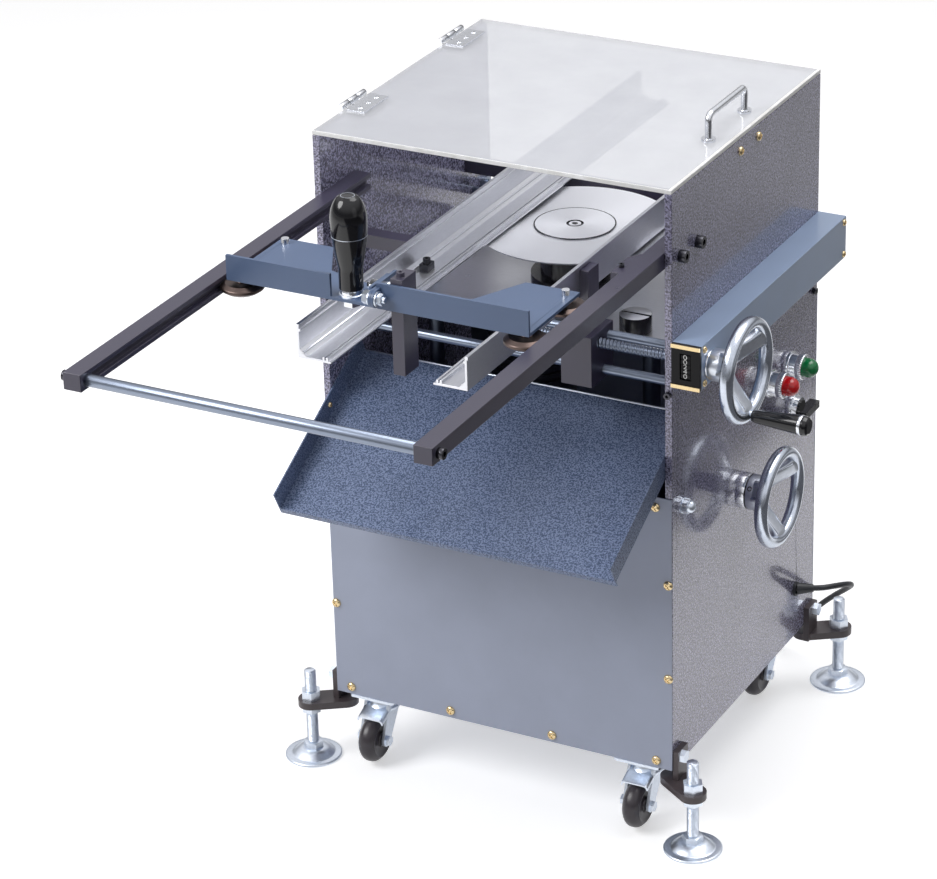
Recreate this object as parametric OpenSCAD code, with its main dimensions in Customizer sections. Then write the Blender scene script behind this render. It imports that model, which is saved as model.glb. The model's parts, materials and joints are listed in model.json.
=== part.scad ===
// Bench-height lead cutter for circuit boards.
// X runs to the operator's right, Y to the back, Z up. The floor is Z = 0.
// Machine coordinates are centred under the cabinet and moved once, by frame_shift(), at the end.

/* [Cabinet] */
// Width over the outer faces of the side plates
cab_w = 500; // [470:1:560]
// Depth of the side plates
cab_d = 462; // [450:1:520]
// Height of the side plates
plate_h = 805; // [795:1:830]
// Thickness of the side plates
plate_t = 10; // [8:0.5:14]
// Height of the cabinet's underside above the floor
cab_z = 102; // [100:1:112]
// Thickness of the screwed-on sheet panels
panel_t = 2; // [1:0.5:4]
// Height of the front panel
panel_h = 394; // [360:1:400]
// Height of the rear panel
rear_h = 500; // [420:1:510]
// Thickness of the bottom plate
base_t = 4; // [3:0.5:8]

/* [Waste chute] */
// How far the chute reaches in front of the side plates
chute_reach = 143; // [100:1:170]
// Slope of the chute floor in degrees
chute_tilt = 28; // [24:1:30]
// Length of the chute floor along its slope
chute_len = 268; // [230:1:280]
// Height of the chute lip above the floor
chute_z = 445; // [435:1:460]
// Height of the chute's side flanges
chute_flange = 30; // [15:1:40]
// Thickness of the chute sheet
chute_t = 2; // [1:0.5:3]

/* [Loading arms] */
// Width of each arm
arm_w = 24; // [22:1:28]
// Height of each arm
arm_h = 22; // [20:1:28]
// Height of the arms' top faces
arm_top = 830; // [826:1:840]
// Reach of the arms in front of the side plates
arm_reach = 597; // [560:1:640]
// Length of the arms that is bolted inside the side plates
arm_inset = 86; // [74:1:90]
// Depth of the roller groove in each arm
groove_d = 6; // [5:0.5:8]
// Diameter of the bar that ties the arm ends
tie_d = 15; // [10:1:18]

/* [Loading carriage] */
// Front of the carriage behind the arms' front ends
car_set = 304; // [280:1:340]
// Depth of the carriage plates
car_d = 134; // [124:1:140]
// Thickness of the carriage plates
car_t = 4; // [3:0.5:5]
// Height of the upturned front lip
lip_h = 29; // [20:1:35]
// Diameter of the guide rollers
roll_d = 54; // [50:1:58]
// Length of the black hand lever
lever_l = 118; // [90:1:130]
// Largest diameter of the hand lever
lever_d = 45; // [36:1:50]
// Width of the board pusher
push_w = 16; // [12:1:22]
// Depth of the board pusher
push_d = 34; // [24:1:38]

/* [Board rails] */
// Underside of the board rails above the floor
rail_z = 742; // [738:1:748]
// Height of the rail walls
rail_h = 44; // [34:1:50]
// Width of the rail floors
rail_w = 46; // [40:1:50]
// Thickness of the rail sections
rail_t = 3; // [2:0.5:4]
// Length of both rails
rail_len = 963; // [930:1:1000]
// How far the rails reach in front of the side plates
rail_reach = 285; // [260:1:300]
// Outer face of the fixed rail, left of the centre plane
rail_off = 114; // [108:1:118]
// Board width that the rails are set to
board_w = 225; // [220:1:235]

/* [Cutter head] */
// Diameter of the cutting disc
blade_d = 264; // [230:1:270]
// Thickness of the cutting disc
blade_t = 3; // [2:0.5:4]
// Drop from the rails to the top of the disc
blade_gap = 5; // [4:0.5:8]
// Diameter of the clamp washer on the disc
clamp_d = 108; // [90:1:120]
// Diameter of the spindle shaft
spindle_d = 30; // [24:1:34]
// Diameter of the spindle housing
housing_d = 92; // [76:1:100]
// Drop from the rails to the top of the head plate
head_drop = 78; // [70:1:84]
// Thickness of the head plate
head_t = 12; // [10:1:16]
// Diameter of the drive motor
motor_d = 120; // [100:1:124]
// Length of the drive motor
motor_l = 170; // [140:1:175]

/* [Width adjuster] */
// Diameter of the two lead screws
screw_d = 14; // [12:1:16]
// Diameter of the guide rods
rod_d = 12; // [10:1:14]
// Height of the lead screws above the floor
screw_z = 682; // [680:1:684]
// Width of the slide blocks
block_w = 43; // [36:1:48]
// How far the chain cover stands out from the side plate
cover_w = 40; // [34:1:46]
// Height of the chain cover
cover_h = 59; // [56:1:66]

/* [Handwheels] */
// Outer diameter of the handwheels
wheel_d = 136; // [126:1:150]
// Width of the handwheel rims
rim_w = 18; // [17:1:24]
// Radial thickness of the handwheel rims
rim_t = 16; // [10:1:17]
// How far the hubs of the handwheels sit behind their rims
dish = 22; // [12:1:26]
// Length of the crank grip
grip_l = 74; // [60:1:90]
// Height of the lower handwheel's shaft
lift_z = 412; // [408:1:418]

/* [Lid] */
// Thickness of the clear lid
lid_t = 6; // [4:0.5:8]
// Length of each hinge
hinge_l = 64; // [50:1:76]
// Distance between the feet of the lid handle
pull_l = 110; // [90:1:130]
// Height of the lid handle
pull_h = 34; // [26:1:40]

/* [Controls] */
// Diameter of the push-button bezels
bezel_d = 38; // [34:1:42]
// Length of the push-button bezels
bezel_l = 26; // [20:1:30]
// Diameter of the push-button domes
dome_d = 26; // [20:1:28]

/* [Feet and casters] */
// Diameter of the foot pads
pad_d = 78; // [66:1:84]
// Diameter of the foot studs
stud_d = 16; // [12:1:18]
// Distance from the side plate to the foot axis
foot_out = 35; // [32:1:40]
// Height of a foot stud's top end
stud_top = 132; // [126:1:140]
// Diameter of the caster wheels
caster_d = 66; // [56:1:68]
// Width of the caster wheels
caster_w = 26; // [18:1:28]
// Trail of the casters
caster_trail = 26; // [20:1:28]

/* [Mains cord] */
// Diameter of the mains cord
cord_d = 8; // [7:0.5:9]
// Mean diameter of the coiled length
coil_d = 92; // [80:1:100]

/* [Hidden] */
$fn = 64;
fit = 0.05;
gap = 0.3;
hw = cab_w / 2;
hd = cab_d / 2;
in_x = hw - plate_t;
top_z = cab_z + plate_h;

arm_x = in_x - arm_w;
arm_mid = arm_top - arm_h / 2;
arm_front = -hd - arm_reach;
arm_rear = -hd + arm_inset;
arm_bolts = [-hd + 24, -hd + 74];
groove_h = 10;
tie_y = arm_front + tie_d / 2 + 6;

roll_h = 12;
roll_bite = groove_d - 3;
roll_x = arm_x + roll_bite - roll_d / 2;
axle_d = 10;
car_y = arm_front + car_set;
car_x = roll_x + 12;
car_z = arm_top + 1;
car_top = car_z + car_t;
roll_ys = [car_y + 16, car_y + car_d - 14];
lever_x = -40;
lever_y = car_y + 16;
lever_base = 9;
lip_end = lever_x - 20;
strip = 44;
ear_x = 0;
ear_gap = 3;
push_x = 28;
push_z = rail_z + rail_t + 2;
push_top = car_top + lip_h + 7;

rail_y = -hd - rail_reach;
rail_top = rail_z + rail_h;
fixed_x = -rail_off;
moving_x = fixed_x + 2 * rail_t + board_w;

blade_y = 8;
blade_top = rail_z - blade_gap;
clamp_t = 1.5;
flange_d = 70;
flange_t = 5;
head_top = rail_z - head_drop;
head_z = head_top - head_t;
head_x0 = -215;
head_x1 = 215;
housing_top = blade_top - blade_t - flange_t - 1;
motor_xy = [-110, 92];
pulley_w = 24;
pulley_z = head_z - 14 - pulley_w;
motor_top = pulley_z - 8;
big_pulley = 80;
small_pulley = 60;
belt_t = 4;
post_d = 20;
post_xy = [[-185, -40], [185, 60]];
post_top = head_top + 40;
jack_xy = [120, -14];
jack_w = 70;
jack_h = 64;
beam_top = lift_z - jack_h / 2;
beam_t = 20;
jack_screw = 24;
jack_drop = 60;
shaft_d = 16;

screw_y = hd - 24;
rod_back = 28;
rod_low = 42;
rod_low_back = 14;
cover_z = screw_z - 27;
cover_x = hw + cover_w;
counter_t = 5;
strip_h = 5;
sprocket_d = 30;
chain_x = hw + 14;
block_x = moving_x + 1;
block_front = hd - 1;
block_rear = screw_y - rod_back - rod_d / 2 - 6;
head_y0 = 27 - block_rear;
head_y1 = block_rear - 7;
lever_post_xy = [146, head_y0 + 24];
block_z0 = screw_z - rod_low - rod_d / 2 - 6;
block_z1 = screw_z + screw_d / 2 + 8;
upright_t = 12;

wheel_r = wheel_d / 2;
up_wheel_x = cover_x + 49;
low_wheel_x = hw + 53;
low_wheel_y = jack_xy[1];
grip_ang = 0;
grip_gap = 2;
grip_r = wheel_r - rim_t / 2;
spoke_n = 3;
spoke_w = 22;
hub_d = 40;
low_hub_d = 46;

bezels = [[130, 533], [66, 533], [144, 463]];
selector_l = 14;
selector_z = 15;

bracket_y = hd + 14;
foot_x = hw + foot_out;
bracket_t = 10;
bracket_z = 78;
leg_t = 8;
leg_w = 30;
leg_h = 52;
lug_r = 18;
nut_h = 13;
jam_h = 9;
brim_h = 4;
pad_h = 13;
hex_h = 10;
caster_x = hw - 52;
caster_ys = [-hd + 31, hd - 45];
caster_pad = 68;
caster_z = 4 + caster_d / 2;
race_z = cab_z - 14;
fork_t = 4;
race_d = 36;
head_d = 47;

gland_y = hd - 62;
gland_z = 176;
relief_l = 22;
cord_lean = 21;
cord_turn = 101.3;
cord_dir = [cos(cord_lean), sin(cord_lean) * sin(cord_turn), -sin(cord_lean) * cos(cord_turn)];

lid_z = top_z;
hinge_x = -hw - 4;
hinge_z = lid_z + lid_t + 2.5;
hinge_ys = [-120, 150];
pin_d = 4;
knuckle_d = 8;
leaf_t = 2;
pull_x = 222;
pull_y = -7;

x_low = -foot_x - pad_d / 2;
x_high = up_wheel_x + rim_w / 2 + grip_gap + grip_l;
y_low = min(arm_front, rail_y);
y_high = max(rail_y + rail_len, bracket_y + pad_d / 2);

// Moves the machine so that the middle of its box stands over the origin.
module frame_shift() {
    translate([-(x_low + x_high) / 2, -(y_low + y_high) / 2, 0]) children();
}

module rod_x(d, l) rotate([0, 90, 0]) cylinder(d = d, h = l);
module rod_y(d, l) rotate([-90, 0, 0]) cylinder(d = d, h = l);
module hex(af, h) cylinder(d = af / cos(30), h = h, $fn = 6);
module hex_x(af, h) rotate([0, 90, 0]) hex(af, h);
module box(lo, hi) translate(lo) cube(hi - lo);
module ring(d, bore, h) {
    difference() {
        cylinder(d = d, h = h);
        translate([0, 0, -1]) cylinder(d = bore, h = h + 2);
    }
}
module mirrored_x() {
    children();
    mirror([1, 0, 0]) children();
}
module mirrored_y() {
    children();
    mirror([0, 1, 0]) children();
}

// A plate with rounded corners, standing on Z = 0 with its corner at the origin.
module round_plate(w, d, r, h) {
    linear_extrude(h) union() {
        translate([r, 0]) square([w - 2 * r, d]);
        translate([0, r]) square([w, d - 2 * r]);
        for (x = [r, w - r], y = [r, d - r]) translate([x, y]) circle(r);
    }
}

// Slotted pan-head screw, head up.
module pan_screw(d) {
    difference() {
        cylinder(d1 = d, d2 = d * 0.8, h = d * 0.3);
        translate([-d, -d * 0.07, d * 0.16]) cube([2 * d, d * 0.14, d]);
    }
}

// Socket-head cap screw, head up.
module cap_screw(d) {
    difference() {
        cylinder(d = d, h = d * 0.6);
        translate([0, 0, d * 0.3]) hex(d * 0.45, d);
    }
}

module on_right() translate([hw, 0, 0]) rotate([0, 90, 0]) children();

// Holes through both side plates for what the right side carries.
module side_bores(extra) {
    for (y = [-screw_y, screw_y]) {
        translate([-hw - 1, y, screw_z]) rod_x(screw_d + 2 * extra, cab_w + 2);
    }
}

module side_plate() {
    box([in_x, -hd, cab_z], [hw, hd, top_z]);
}

module left_side_plate() {
    color([0.36, 0.35, 0.39]) difference() {
        mirror([1, 0, 0]) side_plate();
        side_bores(fit);
    }
}

module right_side_plate() {
    color([0.36, 0.35, 0.39]) difference() {
        side_plate();
        side_bores(fit);
        translate([0, low_wheel_y, lift_z]) rod_x(shaft_d + 2 * fit, hw + 1);
        for (b = bezels) translate([in_x - 1, b[0], b[1]]) rod_x(dome_d + 2 * gap, plate_t + 2);
        translate([in_x - 1, gland_y, gland_z]) rod_x(cord_d + 6, plate_t + 2);
    }
}

module cover_panels() {
    color([0.50, 0.51, 0.58]) {
        box([-hw, -hd - panel_t, cab_z], [hw, -hd, cab_z + panel_h]);
        box([-hw, hd, cab_z], [hw, hd + panel_t, cab_z + rear_h]);
        box([-in_x, -hd, cab_z], [in_x, hd, cab_z + base_t]);
    }
}

// The chute slopes forward between the side plates, with a flange at each side.
module waste_chute() {
    color([0.33, 0.39, 0.48]) translate([0, -hd - chute_reach, chute_z]) rotate([chute_tilt, 0, 0]) {
        box([-in_x + gap, 0, 0], [in_x - gap, chute_len, chute_t]);
        mirrored_x() {
            box([in_x - chute_t - gap, 0, chute_t], [in_x - gap, chute_len, chute_flange]);
        }
        box([-in_x + gap, 0, -8], [in_x - gap, chute_t, 0]);
    }
}

// Brass-plated screws of the sheet metal, and the strips that hold the counter's window.
module brass_screws() {
    side = [cab_z + 136, cab_z + 272];
    across = [-0.91, -0.303, 0.303, 0.91];
    color([0.78, 0.62, 0.32]) {
        for (k = across, z = [cab_z + 11, cab_z + panel_h - 14]) {
            translate([k * hw, -hd - panel_t, z]) rotate([90, 0, 0]) pan_screw(10);
        }
        for (s = [-1, 1], z = side) {
            translate([s * (hw - plate_t / 2), -hd - panel_t, z]) rotate([90, 0, 0]) pan_screw(10);
        }
        for (k = across, z = [cab_z + 11, cab_z + rear_h - 14]) {
            translate([k * hw, hd + panel_t, z]) rotate([-90, 0, 0]) pan_screw(10);
        }
        for (y = [-26, 30]) translate([hw, y, top_z - 16]) rotate([0, 90, 0]) pan_screw(10);
        for (y = [-hd + 8, hd - 8], z = [cover_z + 7, cover_z + cover_h - 7]) {
            translate([cover_x, y, z]) rotate([0, 90, 0]) pan_screw(7);
        }
        for (z = [cover_z, cover_z + cover_h - strip_h]) {
            box([hw + 1, -hd - counter_t - 1.5, z], [cover_x, -hd - counter_t, z + strip_h]);
        }
        mirrored_x() translate([in_x - chute_t - gap, -hd - 8, chute_z]) rotate([0, -90, 0]) {
            translate([(chute_reach - 8) * tan(chute_tilt) + chute_flange * 0.62, 0, 0]) pan_screw(8);
        }
    }
}

// Rail section in the plane of X and Z: wall at X = 0, floor towards +X.
module rail_section() {
    square([rail_w - 4, rail_t]);
    square([rail_t, rail_h]);
    translate([0, rail_h - 9]) square([rail_t + 2, 3]);
    translate([-1.5, rail_h - 4]) square([rail_t + 1.5, 4]);
    polygon([[rail_t, rail_t], [rail_t + 9, rail_t], [rail_t, rail_t + 9]]);
    translate([rail_w - 12, 0]) square([rail_t, 7]);
    translate([rail_w - 4 - rail_t, 0]) square([rail_t, 7]);
    translate([rail_w - 5, 0]) square([5, 2]);
}

module rail_bar() {
    translate([0, rail_y + rail_len, rail_z]) rotate([90, 0, 0]) linear_extrude(rail_len) rail_section();
}

module fixed_rail() {
    color([0.80, 0.81, 0.84]) translate([fixed_x, 0, 0]) rail_bar();
}

module moving_rail() {
    color([0.80, 0.81, 0.84]) translate([moving_x, 0, 0]) mirror([1, 0, 0]) rail_bar();
}

// Black bars that carry the fixed rail and the lift, and the closed screw jack.
module inner_frame() {
    pad = 4;
    bar_y = (blade_y + blade_d / 2 + block_front - 44) / 2 - 9;
    color([0.12, 0.12, 0.13]) {
        box([-in_x, bar_y, rail_z - pad - 20], [in_x, bar_y + 14, rail_z - pad]);
        box([fixed_x, bar_y, rail_z - pad], [fixed_x + 24, bar_y + 14, rail_z]);
        box([-in_x, -hd + 40, rail_z + 4], [fixed_x, -hd + 62, rail_z + 22]);
        difference() {
            union() {
                box([-in_x, -70, beam_top - beam_t], [in_x, 90, beam_top]);
                translate([jack_xy[0] - jack_w / 2, jack_xy[1] - jack_w / 2, beam_top]) {
                    round_plate(jack_w, jack_w, 8, jack_h);
                }
                translate([jack_xy[0], jack_xy[1], beam_top + jack_h]) cylinder(d = jack_screw + 20, h = 10);
            }
            translate([jack_xy[0], jack_xy[1], beam_top - beam_t - 1]) {
                cylinder(d = jack_screw + 2 * fit, h = beam_t + jack_h + 20);
            }
            translate([jack_xy[0] + jack_w / 2 - 12, low_wheel_y, lift_z]) rod_x(shaft_d + 2 * fit, 20);
        }
    }
}

module arm_bar() {
    difference() {
        box([arm_x, arm_front, arm_top - arm_h], [in_x, arm_rear, arm_top]);
        box([arm_x - 1, arm_front - 1, arm_mid - groove_h / 2], [arm_x + groove_d, arm_rear + 1, arm_mid + groove_h / 2]);
    }
    box([arm_x, arm_front, arm_mid - groove_h / 2], [arm_x + groove_d, tie_y + tie_d / 2 + 3, arm_mid + groove_h / 2]);
}

// Both arms, with the stop block inside the right one.
module slide_arms() {
    stop_y = -hd - 79;
    color([0.20, 0.20, 0.22]) {
        mirrored_x() arm_bar();
        translate([arm_x, stop_y, arm_top - 12]) linear_extrude(12) {
            polygon([[0, 0], [-11, 0], [-11, 50], [0, 68]]);
        }
    }
}

module steel_rods() {
    color([0.62, 0.64, 0.68]) {
        translate([-arm_x, tie_y, arm_mid]) rod_x(tie_d, 2 * arm_x);
        mirrored_y() {
            translate([-in_x, screw_y - rod_back, screw_z]) rod_x(rod_d, 2 * in_x);
            translate([-in_x, screw_y - rod_low_back, screw_z - rod_low]) rod_x(rod_d, 2 * in_x);
        }
        for (p = post_xy) translate([p[0], p[1], beam_top]) cylinder(d = post_d, h = post_top - beam_top);
    }
}

module frame_bolts() {
    color([0.08, 0.08, 0.09]) {
        for (s = [-1, 1], y = arm_bolts) {
            translate([s * hw, y, arm_mid]) rotate([0, s * 90, 0]) cap_screw(16);
        }
        for (s = [-1, 1]) {
            translate([s * in_x, tie_y, arm_mid]) rotate([0, s * 90, 0]) cap_screw(13);
            translate([s * (hw - plate_t / 2), -hd, screw_z - 42]) rotate([90, 0, 0]) cap_screw(9);
        }
        translate([hw, hd - 14, screw_z - 78]) rotate([0, 90, 0]) cap_screw(9);
        translate([arm_x - 5, -hd - 60, arm_top]) cap_screw(7);
        translate([fixed_x + 20, -hd + 10, rail_z + rail_t]) {
            translate([-8, -9, 0]) cube([12, 18, 10]);
            translate([-2, 0, 10]) cap_screw(10);
        }
    }
}

// Sheet cover over the chain that ties the two lead screws.
module side_housing() {
    wall = 1.5;
    color([0.33, 0.36, 0.43]) difference() {
        box([hw, -hd, cover_z], [cover_x, hd, cover_z + cover_h]);
        box([hw - 1, -hd + wall, cover_z + wall], [cover_x - wall, hd - wall, cover_z + cover_h - wall]);
        translate([hw, -screw_y, screw_z]) rod_x(screw_d + 4, cover_w + 1);
    }
}

// Mechanical counter in the front end of the chain cover, with its number wheels behind a window.
module position_counter() {
    color([0.07, 0.07, 0.08]) {
        difference() {
            box([hw + 1, -hd - counter_t, cover_z], [cover_x, -hd, cover_z + cover_h]);
            box([hw + cover_w * 0.32, -hd - counter_t - 1, cover_z + 12], [hw + cover_w * 0.68, -hd - 2, cover_z + cover_h - 12]);
        }
        for (k = [0:4]) {
            translate([hw + cover_w * 0.34, -hd - 4, cover_z + cover_h / 2 - 2.8 + (k - 2) * 6.4]) {
                cube([cover_w * 0.32, 2, 5.6]);
            }
        }
    }
}

// Roller chain between the two sprockets, drawn as a plain loop of link height.
module sync_chain() {
    r = sprocket_d / 2 + gap;
    color([0.35, 0.35, 0.36]) translate([chain_x - 3, 0, screw_z]) rotate([90, 0, 90]) linear_extrude(6) {
        difference() {
            chain_outline(r + 6);
            chain_outline(r);
        }
    }
}
module chain_outline(r) {
    for (s = [-1, 1]) translate([s * screw_y, 0]) circle(r);
    square([2 * screw_y, 2 * r], center = true);
}

module foot_bracket() {
    color([0.16, 0.13, 0.12]) {
        box([hw, hd - leg_w, bracket_z], [hw + leg_t, hd, bracket_z + leg_h]);
        difference() {
            translate([0, 0, bracket_z]) linear_extrude(bracket_t) hull() {
                translate([hw - 4, hd - 12]) circle(lug_r);
                translate([foot_x, bracket_y]) circle(lug_r);
            }
            translate([foot_x, bracket_y, bracket_z - 1]) cylinder(d = stud_d + 2 * fit, h = bracket_t + 2);
        }
    }
}

module foot_brackets() {
    mirrored_x() mirrored_y() foot_bracket();
}

// Zinc-plated fixed pieces: caster plates with their races, clamp nuts and wall bolts of the feet.
module zinc_hardware() {
    color([0.70, 0.72, 0.76]) {
        for (s = [-1, 1], y = caster_ys) translate([s * caster_x, y, race_z]) {
            translate([-caster_pad / 2, -caster_pad / 2, 10]) round_plate(caster_pad, caster_pad, 6, 4);
            cylinder(d = race_d, h = 10);
            translate([0, 0, -10]) cylinder(d = 12, h = 10);
        }
        mirrored_x() mirrored_y() {
            translate([foot_x, bracket_y, 0]) {
                for (z = [bracket_z + bracket_t, bracket_z - jam_h]) translate([0, 0, z]) difference() {
                    hex(stud_d * 1.5, z > bracket_z ? nut_h : jam_h);
                    translate([0, 0, -1]) cylinder(d = stud_d + 2 * fit, h = nut_h + 2);
                }
            }
            translate([hw + leg_t, hd - 10, bracket_z + leg_h - 9]) hex_x(16, 7);
        }
    }
}

module caster_fork() {
    inside = caster_w / 2 + 2;
    color([0.70, 0.72, 0.76]) difference() {
        union() {
            translate([0, 0, race_z - gap]) rotate_extrude() {
                polygon([[0, 0], [race_d / 2, 0], [race_d / 2 + 1, -3], [head_d / 2, -8], [head_d / 2, -11], [0, -11]]);
            }
            mirrored_x() translate([inside, 0, 0]) rotate([90, 0, 90]) linear_extrude(fork_t) {
                polygon([[18, race_z - gap - 1], [-18, race_z - gap - 1], [-caster_trail - 9, caster_z + 4],
                         [-caster_trail - 9, caster_z - 4], [-caster_trail + 9, caster_z - 4]]);
                translate([-caster_trail, caster_z]) circle(9);
            }
            translate([-inside - fork_t - 3, -caster_trail, caster_z]) rod_x(8, 2 * (inside + fork_t + 3));
            mirrored_x() translate([inside + fork_t, -caster_trail, caster_z]) hex_x(13, 5);
        }
        translate([0, 0, race_z - 12]) cylinder(d = 12 + 2 * fit, h = 20);
    }
}

module caster_wheel() {
    color([0.10, 0.09, 0.09]) translate([-caster_w / 2, -caster_trail, caster_z]) rotate([0, 90, 0]) {
        rotate_extrude() difference() {
            union() {
                translate([4, 0]) square([caster_d / 2 - 8, caster_w]);
                translate([caster_d / 2 - caster_w * 0.28, caster_w / 2]) scale(1) circle(caster_w * 0.28);
                translate([0, 0]) square([caster_d / 2 - caster_w * 0.28, caster_w]);
                translate([caster_d / 2 - caster_w * 0.28, caster_w * 0.22]) square([caster_w * 0.1, caster_w * 0.56]);
            }
            translate([-1, -1]) square([5 + fit, caster_w + 2]);
            translate([12, -1]) square([9, 4]);
            translate([12, caster_w - 3]) square([9, 4]);
        }
    }
}

// Half outline of a pressed foot pad: a brim and a dome inside it.
function pad_outline() =
    let (r = pad_d / 2, foot = r * 0.76, neck = stud_d * 0.8, n = 8)
    concat([[0, 0], [r, 0], [r, brim_h * 0.6], [r - 2, brim_h]],
           [for (i = [0:n]) let (t = i / n) [foot + (neck - foot) * t, brim_h + (pad_h - brim_h) * sin(90 * t)]],
           [[0, pad_h]]);

// Levelling foot: pad, hexagon and stud.
module level_foot() {
    color([0.68, 0.70, 0.74]) {
        rotate_extrude() polygon(pad_outline());
        translate([0, 0, pad_h - 1]) hex(stud_d * 1.5, hex_h);
        cylinder(d = stud_d, h = stud_top);
    }
}

// Bezels of the controls, bearing collars of the handwheel shafts and fixed hinge leaves.
module chrome_fittings() {
    color([0.82, 0.83, 0.85]) {
        for (b = bezels) translate([hw, b[0], b[1]]) rotate([0, 90, 0]) {
            ring(bezel_d, dome_d + 2 * gap, 8);
            ring(bezel_d - 5, dome_d + 2 * gap, b == bezels[2] ? selector_z : bezel_l);
        }
        translate([cover_x, -screw_y, screw_z]) rotate([0, 90, 0]) ring(hub_d - 2, screw_d + 2 * fit, 4);
        translate([hw, low_wheel_y, lift_z]) rotate([0, 90, 0]) ring(low_hub_d + 2, shaft_d + 2 * fit, 12);
        translate([hw, -hd + 32, lift_z + 62]) hex_x(17, 9);
        for (y = hinge_ys) {
            box([-hw - leaf_t, y - hinge_l / 2, top_z - 24], [-hw, y + hinge_l / 2, hinge_z - knuckle_d / 2 - gap]);
            for (k = [y - hinge_l / 2, y + hinge_l / 6]) {
                translate([hinge_x, k, hinge_z]) hinge_knuckle();
                box([-hw - leaf_t, k, top_z - 24], [-hw, k + hinge_l / 3 - gap, hinge_z - 1]);
            }
        }
    }
}
module hinge_knuckle() {
    rod_y(knuckle_d, hinge_l / 3 - gap);
}

module cord_gland() {
    color([0.07, 0.07, 0.08]) translate([hw, gland_y, gland_z]) rotate([0, 90, 0]) {
        ring(cord_d + 12, cord_d + 4, 4);
        translate([0, 0, -plate_t]) ring(cord_d + 5.6, cord_d + 1, plate_t);
        rotate(cord_turn) rotate([0, cord_lean, 0]) translate([0, 0, 3.6]) difference() {
            cylinder(d1 = cord_d + 9, d2 = cord_d + 2.6, h = relief_l);
            translate([0, 0, -1]) cylinder(d = cord_d + 1, h = relief_l + 2);
        }
    }
}

// Points of the cord from the gland to the coil on the floor behind the cabinet.
cord_shift = [hw - 250, hd - 231, 0];
cord_bends = [
    [286, 184.5, 178], [297, 199.5, 176], [304, 218, 171], [305, 237, 162], [298, 253, 150], [284, 265, 135],
    [266, 274, 118], [246, 281, 98], [226, 287, 76], [206, 292, 54], [186, 296, 34], [166, 299, 18],
    [146, 301, 8], [126, 301, 4.2], [104, 300, 4.2], [82, 300, 4.2], [54, 300, 4.2]
];
cord_route = concat([for (s = [0, 13, 26]) [hw, gland_y, gland_z] + s * cord_dir],
                    [for (p = cord_bends) p + cord_shift]);
coil_xy = [hw - 220, hd + 119];

function unit(v) = v / norm(v);
function dir_at(p, i) = unit(p[min(i + 1, len(p) - 1)] - p[max(i - 1, 0)]);
module sweep(path, d, sides) {
    n = len(path);
    rings = [for (i = [0:n - 1]) let (t = dir_at(path, i), u = unit(cross(t, [0.02, 0.03, 1])), v = cross(u, t))
        for (k = [0:sides - 1]) path[i] + d / 2 * (cos(360 * k / sides) * u + sin(360 * k / sides) * v)];
    skin = [for (i = [0:n - 2], k = [0:sides - 1])
        [i * sides + k, i * sides + (k + 1) % sides, (i + 1) * sides + (k + 1) % sides, (i + 1) * sides + k]];
    caps = [[for (k = [sides - 1:-1:0]) k], [for (k = [0:sides - 1]) (n - 1) * sides + k]];
    polyhedron(rings, concat(skin, caps), convexity = 6);
}

module power_cord() {
    color([0.08, 0.08, 0.09]) sweep(cord_route, cord_d, 8);
}

// The unseen length lies wound in a coil of three layers, two turns wide.
module cord_coil() {
    color([0.08, 0.08, 0.09]) translate([coil_xy[0], coil_xy[1], 0.2]) rotate_extrude() {
        translate([coil_d / 2 - cord_d, 0]) square([2 * cord_d, 3.05 * cord_d]);
    }
}

// Plug in line with the outer turn of the coil: prongs, body and tapered strain relief.
module mains_plug() {
    body = 36;
    relief = 26;
    color([0.08, 0.08, 0.09]) translate([coil_xy[0] - 92, coil_xy[1] - coil_d / 2 - cord_d / 2, 12.4]) {
        rotate([0, 90, 0]) cylinder(d1 = 24, d2 = 17, h = body);
        translate([body, 0, 0]) rotate([0, 90, 0]) cylinder(d1 = 14, d2 = cord_d + 2, h = relief);
        for (s = [-1, 1]) translate([-18, s * 6.35 - 0.75, -3]) cube([18, 1.5, 6]);
    }
}

module lid_panel() {
    color([0.85, 0.90, 0.95, 0.4]) box([-hw + gap, -hd, lid_z + gap], [hw - 4, hd, lid_z + lid_t]);
}

// Moving hinge leaves and the pull handle, both screwed to the lid.
module lid_fittings() {
    color([0.82, 0.83, 0.85]) {
        for (y = hinge_ys) {
            box([hinge_x, y - hinge_l / 6 + gap / 2, hinge_z - 2.5], [hinge_x + 10, y + hinge_l / 6 - gap, hinge_z - 0.5]);
            box([hinge_x + 10, y - hinge_l / 2, hinge_z - 2.5], [hinge_x + 36, y + hinge_l / 2, hinge_z - 0.5]);
            translate([hinge_x, y - hinge_l / 6 + gap / 2, hinge_z]) rod_y(knuckle_d, hinge_l / 3 - 1.5 * gap);
        }
        for (s = [-1, 1]) translate([pull_x, pull_y + s * pull_l / 2, lid_z + lid_t]) {
            cylinder(d = 18, h = 4);
            cylinder(d = 9, h = pull_h - 9);
        }
        translate([pull_x, pull_y - pull_l / 2 + 9, lid_z + lid_t + pull_h]) rod_y(9, pull_l - 18);
        for (s = [0, 180]) translate([pull_x, pull_y, lid_z + lid_t + pull_h - 9]) rotate([0, 0, s]) {
            translate([0, pull_l / 2 - 9, 0]) rotate([0, -90, 0]) rotate_extrude(angle = 90) translate([9, 0]) circle(d = 9);
        }
    }
}

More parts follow.
